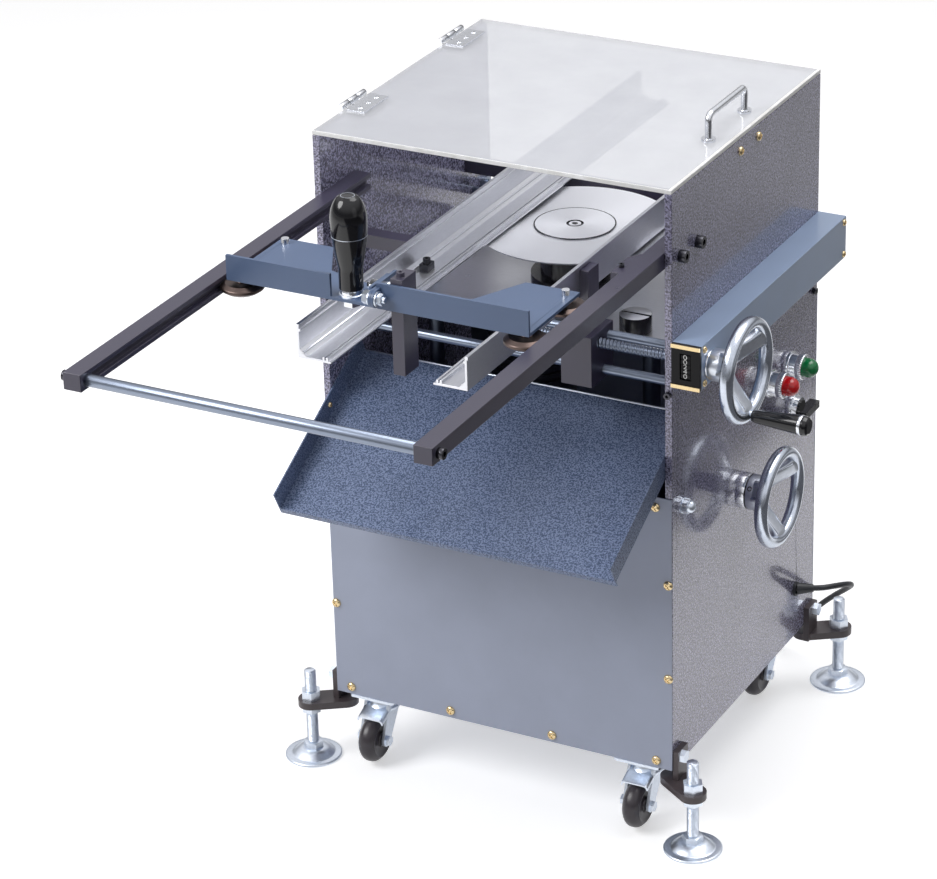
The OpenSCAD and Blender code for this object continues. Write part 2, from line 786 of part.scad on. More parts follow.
// A dished wheel with the shaft axis along X: a rim of round section, sloping spokes and a hub set back.
module handwheel(boss_d, hub_l) {
    root = boss_d / 2 - 4;
    seat = wheel_r - rim_t / 2;
    rotate([0, 90, 0]) {
        rotate_extrude() translate([wheel_r - rim_t / 2, 0]) union() {
            square([rim_t, rim_w - rim_t], center = true);
            for (s = [-1, 1]) translate([0, s * (rim_w - rim_t) / 2]) circle(d = rim_t);
        }
        for (k = [0:spoke_n - 1]) rotate([0, 0, 360 * k / spoke_n + grip_ang]) {
            rotate([90, 0, 0]) linear_extrude(spoke_w, center = true) {
                polygon([[root, -dish - 11], [root, -dish], [seat - 12, 3], [seat, 5], [seat, -5], [seat - 9, -7]]);
            }
        }
        translate([0, 0, -dish - hub_l]) cylinder(d = boss_d, h = hub_l);
    }
}

module width_handwheel() {
    hub_l = up_wheel_x - dish - cover_x - 4 - gap;
    color([0.82, 0.83, 0.85]) difference() {
        translate([up_wheel_x, -screw_y, screw_z]) {
            handwheel(hub_d, hub_l);
            rotate([180 + grip_ang, 0, 0]) translate([-rim_w / 2, 0, grip_r]) rod_x(14, rim_w);
        }
        translate([up_wheel_x - dish - hub_l - 1, -screw_y, screw_z]) rod_x(screw_d - 4, hub_l + 20);
        grip_pin(2 * fit);
    }
}

module at_grip() translate([up_wheel_x, -screw_y, screw_z]) rotate([180 + grip_ang, 0, 0]) translate([0, 0, grip_r]) children();
module grip_pin(extra) at_grip() translate([-rim_w / 2 - 1, 0, 0]) rod_x(7 + extra, rim_w + 2);

// Tapered grip that turns on its pin.
module crank_grip() {
    color([0.05, 0.05, 0.06]) at_grip() {
        translate([-rim_w / 2, 0, 0]) rod_x(7, rim_w + 6);
        translate([rim_w / 2 + grip_gap, 0, 0]) rotate([0, 90, 0]) {
            rotate_extrude() polygon([[0, 0], [7.5, 0], [8.5, 3], [12.5, grip_l - 14], [12.5, grip_l - 6],
                                      [11.5, grip_l - 2], [9, grip_l], [0, grip_l]]);
        }
    }
}

module screw_bar(x1) {
    translate([-hw, 0, 0]) rod_x(screw_d, x1 + hw);
    translate([chain_x, 0, 0]) rotate([0, 90, 0]) translate([0, 0, -2]) cylinder(d = sprocket_d, h = 4);
    translate([-in_x + gap, 0, 0]) rod_x(screw_d + 8, 6);
}

module lead_screw() {
    color([0.62, 0.64, 0.68]) translate([0, -screw_y, screw_z]) {
        screw_bar(cover_x + 2);
        translate([cover_x + 2, 0, 0]) rod_x(screw_d - 4, up_wheel_x - dish - cover_x - 2);
    }
}

module rear_screw() {
    color([0.62, 0.64, 0.68]) translate([0, screw_y, screw_z]) screw_bar(chain_x + 8);
}

// Front and rear slide blocks on the guide rods, with the uprights that carry the moving rail.
module slide_blocks() {
    color([0.10, 0.10, 0.11]) mirrored_y() difference() {
        union() {
            box([block_x - 22, block_rear, block_z0], [block_x - 22 + block_w, block_front, block_z1]);
            box([block_x - 1, block_front - 44, block_z1], [block_x - 1 + upright_t, block_front - 14, rail_top - 6]);
        }
        translate([0, screw_y, screw_z]) rod_x(screw_d + 2 * fit, in_x);
        translate([0, screw_y - rod_back, screw_z]) rod_x(rod_d + 2 * fit, in_x);
        translate([0, screw_y - rod_low_back, screw_z - rod_low]) rod_x(rod_d + 2 * fit, in_x);
    }
}

module height_handwheel() {
    hub_l = low_wheel_x - dish - hw - 12 - gap;
    color([0.82, 0.83, 0.85]) {
        translate([low_wheel_x, low_wheel_y, lift_z]) handwheel(low_hub_d, hub_l);
        translate([jack_xy[0] + jack_w / 2 - 11, low_wheel_y, lift_z]) {
            rod_x(shaft_d, low_wheel_x - dish - jack_xy[0] - jack_w / 2 + 9);
        }
    }
}

module lift_screw() {
    color([0.62, 0.64, 0.68]) translate([jack_xy[0], jack_xy[1], beam_top - jack_drop]) {
        cylinder(d = jack_screw, h = head_z - beam_top + jack_drop);
        translate([0, 0, head_z - beam_top + jack_drop - 8]) cylinder(d = jack_screw + 22, h = 8);
    }
}

module head_plate() {
    color([0.78, 0.79, 0.80]) difference() {
        union() {
            translate([head_x0, head_y0, head_z]) round_plate(head_x1 - head_x0, head_y1 - head_y0, 8, head_t);
            for (p = post_xy) translate([p[0], p[1], head_z - 30]) cylinder(d = post_d + 18, h = head_t + 36);
        }
        for (p = post_xy) translate([p[0], p[1], head_z - 31]) cylinder(d = post_d + 2 * fit, h = head_t + 60);
        translate([0, blade_y, head_z - 1]) cylinder(d = spindle_d + 2, h = head_t + 2);
    }
}

// Motor with cooling ribs, terminal box and the studs that hang it under the head plate.
module drive_motor() {
    rib = 3;
    color([0.22, 0.24, 0.28]) translate([motor_xy[0], motor_xy[1], 0]) {
        difference() {
            translate([0, 0, motor_top - motor_l]) cylinder(d = motor_d, h = motor_l);
            for (k = [1:9]) translate([0, 0, motor_top - 30 - k * (motor_l - 60) / 10]) ring(motor_d + 4, motor_d - 10, rib);
            translate([0, 0, motor_top - 20]) cylinder(d = 16 + 2 * fit, h = 30);
        }
        translate([-motor_d / 2 - 18, -28, motor_top - motor_l * 0.6]) cube([28, 56, 44]);
        for (a = [45:90:315]) rotate([0, 0, a]) translate([motor_d / 2 - 9, 0, motor_top - 1]) {
            cylinder(d = 10, h = head_z - motor_top + 1);
        }
    }
}

// Bearing housing under the disc, and the slotted post that locks the belt tension.
module spindle_housing() {
    color([0.09, 0.09, 0.10]) {
        translate([0, blade_y, head_top]) difference() {
            union() {
                cylinder(d = housing_d + 26, h = 8);
                cylinder(d = housing_d, h = housing_top - head_top);
            }
            translate([0, 0, -1]) cylinder(d = spindle_d + 2 * fit, h = housing_top - head_top + 2);
        }
        translate([lever_post_xy[0], lever_post_xy[1], head_top]) difference() {
            cylinder(d = 42, h = 22);
            translate([-30, -2, 19]) cube([60, 4, 6]);
        }
        for (x = [head_x0 + 14, head_x1 - 14]) translate([x, head_y0 + 12, head_top]) cap_screw(12);
    }
}

// Points of a closed loop around two circles: one at the origin, one at c.
function loop_points(c, r1, r2, n) =
    let (along = atan2(c[1], c[0]), lean = acos((r1 - r2) / norm(c)))
    concat([for (i = [0:n]) let (a = along + lean + (360 - 2 * lean) * i / n) r1 * [cos(a), sin(a)]],
           [for (i = [0:n]) let (a = along - lean + 2 * lean * i / n) c + r2 * [cos(a), sin(a)]]);

// Flat belt over the two pulleys.
module drive_belt() {
    c = motor_xy - [0, blade_y];
    r1 = big_pulley / 2 + gap;
    r2 = small_pulley / 2 + gap;
    color([0.06, 0.06, 0.06]) translate([0, blade_y, pulley_z + 5]) linear_extrude(pulley_w - 10) difference() {
        polygon(loop_points(c, r1 + belt_t, r2 + belt_t, 32));
        polygon(loop_points(c, r1, r2, 32));
    }
}

module cutter_blade() {
    color([0.86, 0.87, 0.89]) translate([0, blade_y, blade_top - blade_t]) difference() {
        union() {
            cylinder(d = blade_d - 6, h = blade_t);
            cylinder(d1 = blade_d - 6, d2 = blade_d, h = blade_t);
        }
        translate([0, 0, -1]) cylinder(d = spindle_d - 6, h = blade_t + 2);
    }
}

// Spindle with its lower flange, the clamp washer and screw above the disc, and the driven pulley.
module blade_spindle() {
    color([0.80, 0.81, 0.84]) translate([0, blade_y, 0]) {
        translate([0, 0, pulley_z]) cylinder(d = spindle_d, h = blade_top - blade_t - pulley_z);
        translate([0, 0, blade_top - blade_t - flange_t]) cylinder(d = flange_d, h = flange_t);
        translate([0, 0, blade_top - blade_t]) cylinder(d = spindle_d - 6, h = blade_t);
        difference() {
            translate([0, 0, blade_top]) cylinder(d = clamp_d, h = clamp_t);
            translate([0, 0, blade_top + 0.5]) cylinder(d = 22, h = 4);
        }
        translate([0, 0, blade_top + 0.5]) difference() {
            cylinder(d = 16, h = 0.9);
            translate([0, 0, 0.3]) hex(8, 4);
        }
        translate([0, 0, pulley_z]) grooved_pulley(big_pulley);
    }
}
module grooved_pulley(d) {
    cylinder(d = d, h = pulley_w);
    for (z = [0, pulley_w - 4]) translate([0, 0, z]) cylinder(d = d + 12, h = 4);
}

module motor_pulley() {
    color([0.62, 0.64, 0.68]) translate([motor_xy[0], motor_xy[1], pulley_z]) {
        grooved_pulley(small_pulley);
        translate([0, 0, -26]) cylinder(d = 16, h = 28);
    }
}

// Two flat plates with upturned front lips, joined by upright ears.
module carriage_plates() {
    wide = 72;
    color([0.42, 0.46, 0.55]) difference() {
        union() {
            translate([0, 0, car_z]) linear_extrude(car_t) polygon([
                [-car_x, car_y], [ear_x - ear_gap, car_y], [ear_x - ear_gap, car_y + strip],
                [-car_x + wide + 34, car_y + strip + 26], [-car_x + wide, car_y + car_d], [-car_x, car_y + car_d]]);
            translate([0, 0, car_z]) linear_extrude(car_t) polygon([
                [car_x, car_y], [ear_x + ear_gap, car_y], [ear_x + ear_gap, car_y + strip],
                [car_x - wide - 40, car_y + strip + 10], [car_x - wide, car_y + car_d], [car_x, car_y + car_d]]);
            box([-car_x, car_y, car_top], [lip_end, car_y + car_t, car_top + lip_h]);
            box([ear_x + ear_gap, car_y, car_top], [car_x, car_y + car_t, car_top + lip_h]);
            box([ear_x - ear_gap - 4, car_y, car_top], [ear_x - ear_gap, car_y + strip, car_top + lip_h - 6]);
            box([ear_x + ear_gap, car_y, car_top], [ear_x + ear_gap + 4, car_y + strip, car_top + lip_h]);
        }
        for (s = [-1, 1], y = roll_ys) translate([s * roll_x, y, car_z - 1]) cylinder(d = axle_d, h = car_t + 2);
        translate([ear_x - 20, car_y + strip / 2, car_top + lip_h / 2]) rod_x(8, 40);
        box([push_x - push_w / 2 - gap, car_y + car_t, car_z - 1], [push_x + push_w / 2 + gap, car_y + car_t + push_d, car_top + 1]);
        translate([lever_x, lever_y, car_z - 1]) cylinder(d = 10, h = car_t + 2);
    }
}

// Roller axles with their heads, the joining bolt and the nuts of the hand lever.
module carriage_bolts() {
    color([0.80, 0.81, 0.84]) {
        for (s = [-1, 1], y = roll_ys) translate([s * roll_x, y, 0]) {
            translate([0, 0, arm_mid - roll_h / 2 - 5]) cylinder(d = axle_d, h = car_top - arm_mid + roll_h / 2 + 12);
            translate([0, 0, arm_mid + roll_h / 2 + gap]) cylinder(d = axle_d + 6, h = car_z - arm_mid - roll_h / 2 - gap);
            translate([0, 0, arm_mid - roll_h / 2 - gap - 4]) cylinder(d = axle_d + 6, h = 4);
        }
        translate([ear_x, car_y + strip / 2, car_top + lip_h / 2]) {
            translate([-20, 0, 0]) rod_x(8, 34);
            translate([-ear_gap - 12, 0, 0]) hex_x(15, 8);
            translate([ear_gap + 4, 0, 0]) rod_x(18, 2);
            translate([ear_gap + 6, 0, 0]) hex_x(13, 6);
            translate([-ear_gap, 0, 0]) rod_x(14, 2 * ear_gap);
        }
        translate([lever_x, lever_y, car_z - 9]) {
            hex(19, 9);
            cylinder(d = 10, h = car_t + 9 + lever_base);
        }
        translate([lever_x, lever_y, car_top]) cylinder(d = 28, h = lever_base);
    }
}

// Radius of the turned hand lever at a share of its length.
function lever_r(t) = lever_d / 2 * (0.66 + 0.34 * sin(180 * min(1, max(0, (t - 0.22) / 1.08)))) * sqrt(1 - pow(max(0, (t - 0.72) / 0.28), 2.4) * 0.72);

module carriage_handle() {
    n = 16;
    color([0.03, 0.03, 0.04]) translate([lever_x, lever_y, car_top + lever_base]) {
        rotate_extrude() polygon(concat([[0, 0]], [for (i = [0:n]) [lever_r(i / n), lever_l * i / n]], [[0, lever_l]]));
    }
}

module board_pusher() {
    color([0.08, 0.08, 0.09]) {
        box([push_x - push_w / 2, car_y + car_t, push_z], [push_x + push_w / 2, car_y + car_t + push_d - gap, push_top]);
        translate([push_x, car_y + car_t + 11, push_top]) cap_screw(10);
    }
}

// Roller with a tapered rim that runs in the arm's groove.
module roller(sx, y) {
    color([0.52, 0.36, 0.27]) translate([sx * roll_x, y, arm_mid]) rotate_extrude() difference() {
        polygon([[0, -roll_h / 2], [roll_d / 2 - roll_bite - 3, -roll_h / 2], [roll_d / 2 - 1, -2.5],
                 [roll_d / 2, -1.5], [roll_d / 2, 1.5], [roll_d / 2 - 1, 2.5],
                 [roll_d / 2 - roll_bite - 3, roll_h / 2], [0, roll_h / 2]]);
        translate([-1, -roll_h]) square([axle_d / 2 + fit + 1, 2 * roll_h]);
    }
}

module button_dome(b) {
    translate([hw + 2, b[0], b[1]]) rotate([0, 90, 0]) {
        cylinder(d = dome_d, h = bezel_l + 4);
        translate([0, 0, bezel_l + 4]) intersection() {
            sphere(d = dome_d);
            cylinder(d = dome_d + 2, h = dome_d);
        }
    }
}

module start_button() color([0.05, 0.42, 0.22]) button_dome(bezels[0]);
module stop_button() color([0.75, 0.08, 0.08]) button_dome(bezels[1]);

// Selector with a short lever across its face.
module selector_knob() {
    color([0.05, 0.05, 0.06]) translate([hw + 2, bezels[2][0], bezels[2][1]]) rotate([0, 90, 0]) {
        cylinder(d = dome_d, h = selector_z);
        translate([-5, -bezel_d / 2, selector_z]) cube([10, bezel_d + 8, selector_l]);
    }
}

module at_caster(sx, y) translate([sx * caster_x, y, 0]) children();
module at_foot(sx, sy) translate([sx * foot_x, sy * bracket_y, 0]) children();

module roller_fl() roller(-1, roll_ys[0]);
module roller_fr() roller(1, roll_ys[0]);
module roller_rl() roller(-1, roll_ys[1]);
module roller_rr() roller(1, roll_ys[1]);
module fork_fl() at_caster(-1, caster_ys[0]) caster_fork();
module fork_fr() at_caster(1, caster_ys[0]) caster_fork();
module fork_rl() at_caster(-1, caster_ys[1]) caster_fork();
module fork_rr() at_caster(1, caster_ys[1]) caster_fork();
module wheel_fl() at_caster(-1, caster_ys[0]) caster_wheel();
module wheel_fr() at_caster(1, caster_ys[0]) caster_wheel();
module wheel_rl() at_caster(-1, caster_ys[1]) caster_wheel();
module wheel_rr() at_caster(1, caster_ys[1]) caster_wheel();
module foot_fl() at_foot(-1, -1) level_foot();
module foot_fr() at_foot(1, -1) level_foot();
module foot_rl() at_foot(-1, 1) level_foot();
module foot_rr() at_foot(1, 1) level_foot();

frame_shift() left_side_plate();
frame_shift() right_side_plate();
frame_shift() cover_panels();
frame_shift() waste_chute();
frame_shift() brass_screws();
frame_shift() fixed_rail();
frame_shift() inner_frame();
frame_shift() slide_arms();
frame_shift() steel_rods();
frame_shift() frame_bolts();
frame_shift() side_housing();
frame_shift() position_counter();
frame_shift() sync_chain();
frame_shift() foot_brackets();
frame_shift() zinc_hardware();
frame_shift() chrome_fittings();
frame_shift() cord_gland();
frame_shift() power_cord();
frame_shift() cord_coil();
frame_shift() mains_plug();
frame_shift() lid_panel();
frame_shift() lid_fittings();
frame_shift() width_handwheel();
frame_shift() lead_screw();
frame_shift() crank_grip();
frame_shift() rear_screw();
frame_shift() slide_blocks();
frame_shift() moving_rail();
frame_shift() height_handwheel();
frame_shift() lift_screw();
frame_shift() head_plate();
frame_shift() drive_motor();
frame_shift() spindle_housing();
frame_shift() drive_belt();
frame_shift() cutter_blade();
frame_shift() blade_spindle();
frame_shift() motor_pulley();
frame_shift() carriage_plates();
frame_shift() carriage_handle();
frame_shift() board_pusher();
frame_shift() carriage_bolts();
frame_shift() roller_fl();
frame_shift() roller_fr();
frame_shift() roller_rl();
frame_shift() roller_rr();
frame_shift() fork_fl();
frame_shift() fork_fr();
frame_shift() fork_rl();
frame_shift() fork_rr();
frame_shift() wheel_fl();
frame_shift() wheel_fr();
frame_shift() wheel_rl();
frame_shift() wheel_rr();
frame_shift() foot_fl();
frame_shift() foot_fr();
frame_shift() foot_rl();
frame_shift() foot_rr();
frame_shift() start_button();
frame_shift() stop_button();
frame_shift() selector_knob();
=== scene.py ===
"""Looks of the circuit-board lead cutter: camera, cord, finishes, fine pieces and light."""
import json
import math

import bmesh
import bpy
from mathutils import Matrix, Vector


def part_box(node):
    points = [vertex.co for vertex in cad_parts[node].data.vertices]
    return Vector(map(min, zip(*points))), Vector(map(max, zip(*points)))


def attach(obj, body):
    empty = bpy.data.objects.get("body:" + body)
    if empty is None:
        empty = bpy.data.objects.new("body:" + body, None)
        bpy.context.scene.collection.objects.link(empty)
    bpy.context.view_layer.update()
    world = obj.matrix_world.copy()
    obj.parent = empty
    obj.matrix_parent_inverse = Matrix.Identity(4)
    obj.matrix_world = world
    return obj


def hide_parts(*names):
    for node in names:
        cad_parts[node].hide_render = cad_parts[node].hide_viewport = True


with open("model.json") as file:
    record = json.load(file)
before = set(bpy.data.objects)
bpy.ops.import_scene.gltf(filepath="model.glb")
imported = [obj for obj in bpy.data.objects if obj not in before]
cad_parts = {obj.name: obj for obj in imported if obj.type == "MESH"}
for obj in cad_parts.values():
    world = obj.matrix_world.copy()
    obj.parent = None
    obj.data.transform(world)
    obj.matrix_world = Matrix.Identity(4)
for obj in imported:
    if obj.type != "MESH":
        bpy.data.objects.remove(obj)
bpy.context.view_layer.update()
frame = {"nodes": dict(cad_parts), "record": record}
nodes = frame["nodes"]
scene = bpy.context.scene
MM = 0.001
CORNERS = ("fl", "fr", "rl", "rr")

# The cabinet's own middle on the floor, from which the CAD source measures.
plate_low = Vector(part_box("left_side_plate")[0])
plate_high = Vector(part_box("right_side_plate")[1])
MIDDLE = Vector(((plate_low.x + plate_high.x) / 2, (plate_low.y + plate_high.y) / 2, 0.0))


def at(x, y, z):
    """A point measured in millimetres from the cabinet's middle, in the frame's metres."""
    return MIDDLE + Vector((x, y, z)) * MM


# Camera

IMAGE_WIDTH = 937
FOCAL_PIXELS = 3680.0
SENSOR_MM = 36.0
AZIMUTH = math.radians(28.42)
ELEVATION = math.radians(25.806)
ROLL = math.radians(-1.648)
DISTANCE = 5.017
TARGET = at(-162.9, 0.0, 395.1)


def make_camera():
    """A camera at the photograph's viewing angle."""
    back = Vector((math.sin(AZIMUTH) * math.cos(ELEVATION), -math.cos(AZIMUTH) * math.cos(ELEVATION),
                   math.sin(ELEVATION)))
    level = Vector((math.cos(AZIMUTH), math.sin(AZIMUTH), 0.0))
    rise = back.cross(level)
    right = level * math.cos(ROLL) + rise * math.sin(ROLL)
    up = rise * math.cos(ROLL) - level * math.sin(ROLL)
    data = bpy.data.cameras.new("camera")
    data.sensor_fit = "HORIZONTAL"
    data.sensor_width = SENSOR_MM
    data.lens = FOCAL_PIXELS / IMAGE_WIDTH * SENSOR_MM
    data.clip_end = 100.0
    camera = bpy.data.objects.new("camera", data)
    scene.collection.objects.link(camera)
    turn = Matrix((right, up, back)).transposed().to_4x4()
    camera.matrix_world = Matrix.Translation(TARGET + back * DISTANCE) @ turn
    scene.camera = camera


make_camera()


# Shader helpers

def put(tree, kind, **values):
    """Adds a node and sets its properties, or its inputs where the name is an input's."""
    node = tree.nodes.new(kind)
    for name, value in values.items():
        label = name.replace("_", " ").title()
        if label in node.inputs:
            node.inputs[label].default_value = value
        else:
            setattr(node, name, value)
    return node


def rgba(color):
    return (color[0], color[1], color[2], 1.0)


class Finish:
    """A Principled material whose nodes read the piece's own coordinates in metres."""

    def __init__(self, name, color, metallic=0.0, roughness=0.5, **sockets):
        self.material = bpy.data.materials.new(name)
        self.material.use_nodes = True
        self.tree = self.material.node_tree
        self.shader = self.tree.nodes["Principled BSDF"]
        self.shader.inputs["Base Color"].default_value = rgba(color)
        self.shader.inputs["Metallic"].default_value = metallic
        self.shader.inputs["Roughness"].default_value = roughness
        for socket, value in sockets.items():
            label = socket.replace("_", " ").title().replace("Ior", "IOR")
            self.shader.inputs[label].default_value = value
        self.place = self.tree.nodes.new("ShaderNodeTexCoord").outputs["Object"]
        self.normal = None

    def link(self, source, target):
        self.tree.links.new(source, target)

    def stretched(self, scale, origin=(0.0, 0.0, 0.0)):
        """The coordinates measured from origin and stretched."""
        mapping = self.tree.nodes.new("ShaderNodeMapping")
        mapping.vector_type = "TEXTURE"
        mapping.inputs["Location"].default_value = origin
        mapping.inputs["Scale"].default_value = scale
        self.link(self.place, mapping.inputs["Vector"])
        return mapping.outputs["Vector"]

    def noise(self, size, detail=3.0, where=None, roughness=0.5):
        """Noise whose features are about size metres across."""
        node = put(self.tree, "ShaderNodeTexNoise", scale=1.0 / size, detail=detail, roughness=roughness)
        self.link(where or self.place, node.inputs["Vector"])
        return node.outputs["Fac"]

    def cells(self, size):
        """Distance from the middles of smooth cells about size metres across."""
        node = put(self.tree, "ShaderNodeTexVoronoi", feature="SMOOTH_F1")
        node.inputs["Scale"].default_value = 1.0 / size
        self.link(self.place, node.inputs["Vector"])
        return node.outputs["Distance"]

    def ramp(self, factor, *stops):
        """A colour or grey for each (position, value) stop."""
        node = self.tree.nodes.new("ShaderNodeValToRGB")
        elements = node.color_ramp.elements
        while len(elements) < len(stops):
            elements.new(0.5)
        for element, (position, value) in zip(elements, stops):
            element.position = position
            element.color = rgba(value if hasattr(value, "__len__") else (value, value, value))
        self.link(factor, node.inputs["Fac"])
        return node.outputs["Color"]

    def mixed(self, factor, first, second, blend="MIX"):
        node = self.tree.nodes.new("ShaderNodeMix")
        node.data_type = "RGBA"
        node.blend_type = blend
        for value, socket in ((factor, node.inputs[0]), (first, node.inputs[6]), (second, node.inputs[7])):
            if isinstance(value, bpy.types.NodeSocket):
                self.link(value, socket)
            else:
                socket.default_value = rgba(value) if hasattr(value, "__len__") else value
        return node.outputs[2]

    def color(self, source):
        self.link(source, self.shader.inputs["Base Color"])

    def rough(self, factor, low, high):
        node = put(self.tree, "ShaderNodeMapRange")
        node.inputs["To Min"].default_value = low
        node.inputs["To Max"].default_value = high
        self.link(factor, node.inputs["Value"])
        self.link(node.outputs["Result"], self.shader.inputs["Roughness"])

    def bump(self, height, depth, strength=1.0):
        """Adds a layer of relief, depth metres deep, over the layers before it."""
        node = self.tree.nodes.new("ShaderNodeBump")
        node.inputs["Strength"].default_value = strength
        node.inputs["Distance"].default_value = depth
        self.link(height, node.inputs["Height"])
        if self.normal is not None:
            self.link(self.normal, node.inputs["Normal"])
        self.normal = node.outputs["Normal"]
        self.link(self.normal, self.shader.inputs["Normal"])


# Finishes

def hammered(name, dark, light, cell, gloss=0.24, flake=0.12, coat=1.0):
    """Hammer-finish enamel: flakes under a clear skin, fine pits that sparkle, slow changes of tone."""
    paint = Finish(name, dark, metallic=flake, roughness=gloss, specular_ior_level=0.35, coat_weight=coat,
                   coat_roughness=0.09, coat_ior=1.5)
    grain = paint.noise(cell, detail=2.0, roughness=0.6)
    pits = paint.cells(cell * 1.3)
    flecks = paint.ramp(grain, (0.42, dark), (0.58, light))
    tone = paint.ramp(paint.noise(0.09, detail=2.0), (0.3, 0.84), (0.7, 1.0))
    paint.color(paint.mixed(1.0, flecks, tone, "MULTIPLY"))
    paint.rough(grain, gloss - 0.08, gloss + 0.12)
    paint.bump(pits, 0.0005, 0.30)
    paint.bump(grain, 0.0005, 0.30)
    return paint.material


def satin(name, color, gloss=0.42, grain=0.0007, depth=0.00012, coat=0.12, skin=1.5, skin_gloss=0.25):
    """Sprayed satin enamel: fine orange peel, faint smears in the gloss."""
    paint = Finish(name, color, roughness=gloss, coat_weight=coat, coat_roughness=skin_gloss, coat_ior=skin)
    low = [c * 0.96 for c in color]
    high = [min(1.0, c * 1.03) for c in color]
    paint.color(paint.ramp(paint.noise(0.06, detail=5.0), (0.3, low), (0.7, high)))
    paint.rough(paint.noise(0.03, detail=4.0), gloss - 0.06, gloss + 0.08)
    paint.bump(paint.noise(grain, detail=2.0), depth, 0.4)
    return paint.material


def metal(name, color, roughness, along=(1.0, 1.0, 1.0), grain=0.0006, spread=0.10, depth=0.00003):
    """Bare metal with a brushed or ground grain that is drawn out along the larger stretch."""
    steel = Finish(name, color, metallic=1.0, roughness=roughness)
    lines = steel.noise(grain, detail=3.0, where=steel.stretched(along))
    smears = steel.noise(0.025, detail=4.0)
    low = [c * 0.9 for c in color]
    steel.color(steel.ramp(lines, (0.3, low), (0.7, color)))
    steel.rough(smears, max(0.02, roughness - spread / 2), roughness + spread / 2)
    steel.bump(lines, depth, 0.3)
    return steel.material


def turned_steel(name, color, roughness, centre):
    """Ground disc: fine rings about an upright axis."""
    steel = Finish(name, color, metallic=1.0, roughness=roughness, anisotropic=0.4)
    where = steel.stretched((1.0, 1.0, 1.0), origin=centre)
    rings = put(steel.tree, "ShaderNodeTexWave", wave_type="RINGS", rings_direction="Z")
    rings.inputs["Scale"].default_value = 260.0
    rings.inputs["Distortion"].default_value = 2.0
    rings.inputs["Detail"].default_value = 3.0
    rings.inputs["Detail Scale"].default_value = 1.5
    steel.link(where, rings.inputs["Vector"])
    steel.color(steel.ramp(rings.outputs["Fac"], (0.0, [c * 0.94 for c in color]), (1.0, color)))
    steel.rough(steel.noise(0.04, detail=4.0), roughness - 0.05, roughness + 0.07)
    steel.bump(rings.outputs["Fac"], 0.00002, 0.25)
    return steel.material


def polymer(name, color, roughness, grain=0.0004, depth=0.00004, **sockets):
    """Moulded plastic or rubber with a faint grain and finger marks in its gloss."""
    mould = Finish(name, color, roughness=roughness, **sockets)
    soft = mould.noise(0.02, detail=4.0)
    low = [c * 0.85 for c in color]
    high = [min(1.0, c * 1.12 + 0.002) for c in color]
    mould.color(mould.ramp(soft, (0.3, low), (0.75, high)))
    mould.rough(soft, max(0.03, roughness - 0.05), roughness + 0.07)
    mould.bump(mould.noise(grain, detail=2.0), depth, 0.3)
    return mould.material


def lens(name, color):
    """Coloured lamp lens with fine moulded ribs under a glossy skin."""
    dome = Finish(name, color, roughness=0.22, coat_weight=0.4, coat_roughness=0.04, subsurface_weight=0.15)
    dome.shader.inputs["Subsurface Radius"].default_value = (0.004, 0.002, 0.002)
    ribs = dome.noise(0.0016, detail=1.0)
    dome.color(dome.ramp(ribs, (0.3, [c * 0.75 for c in color]), (0.7, color)))
    dome.bump(ribs, 0.0001, 0.2)
    return dome.material


def acrylic_with_painted_sheen(name):
    """Clear sheet whose pale grey, half-opaque colour is a painted sheen that veils what lies behind it."""
    # thin and thick are the pale greys of the painted sheen: colour that stands in for the sheet's
    # reflection.
    thin, thick = (0.58, 0.59, 0.63), (0.62, 0.63, 0.67)
    sheet = Finish(name, thick, roughness=0.12, alpha=0.62)
    painted_sheen_patches = sheet.noise(0.05, detail=4.0)
    sheet.color(sheet.ramp(painted_sheen_patches, (0.3, thin), (0.7, thick)))
    sheet.rough(painted_sheen_patches, 0.08, 0.18)
    return sheet.material


blade_axis = (Vector(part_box("cutter_blade")[0]) + Vector(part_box("cutter_blade")[1])) / 2
ALONG_X = (12.0, 1.0, 1.0)
ALONG_Y = (1.0, 12.0, 1.0)

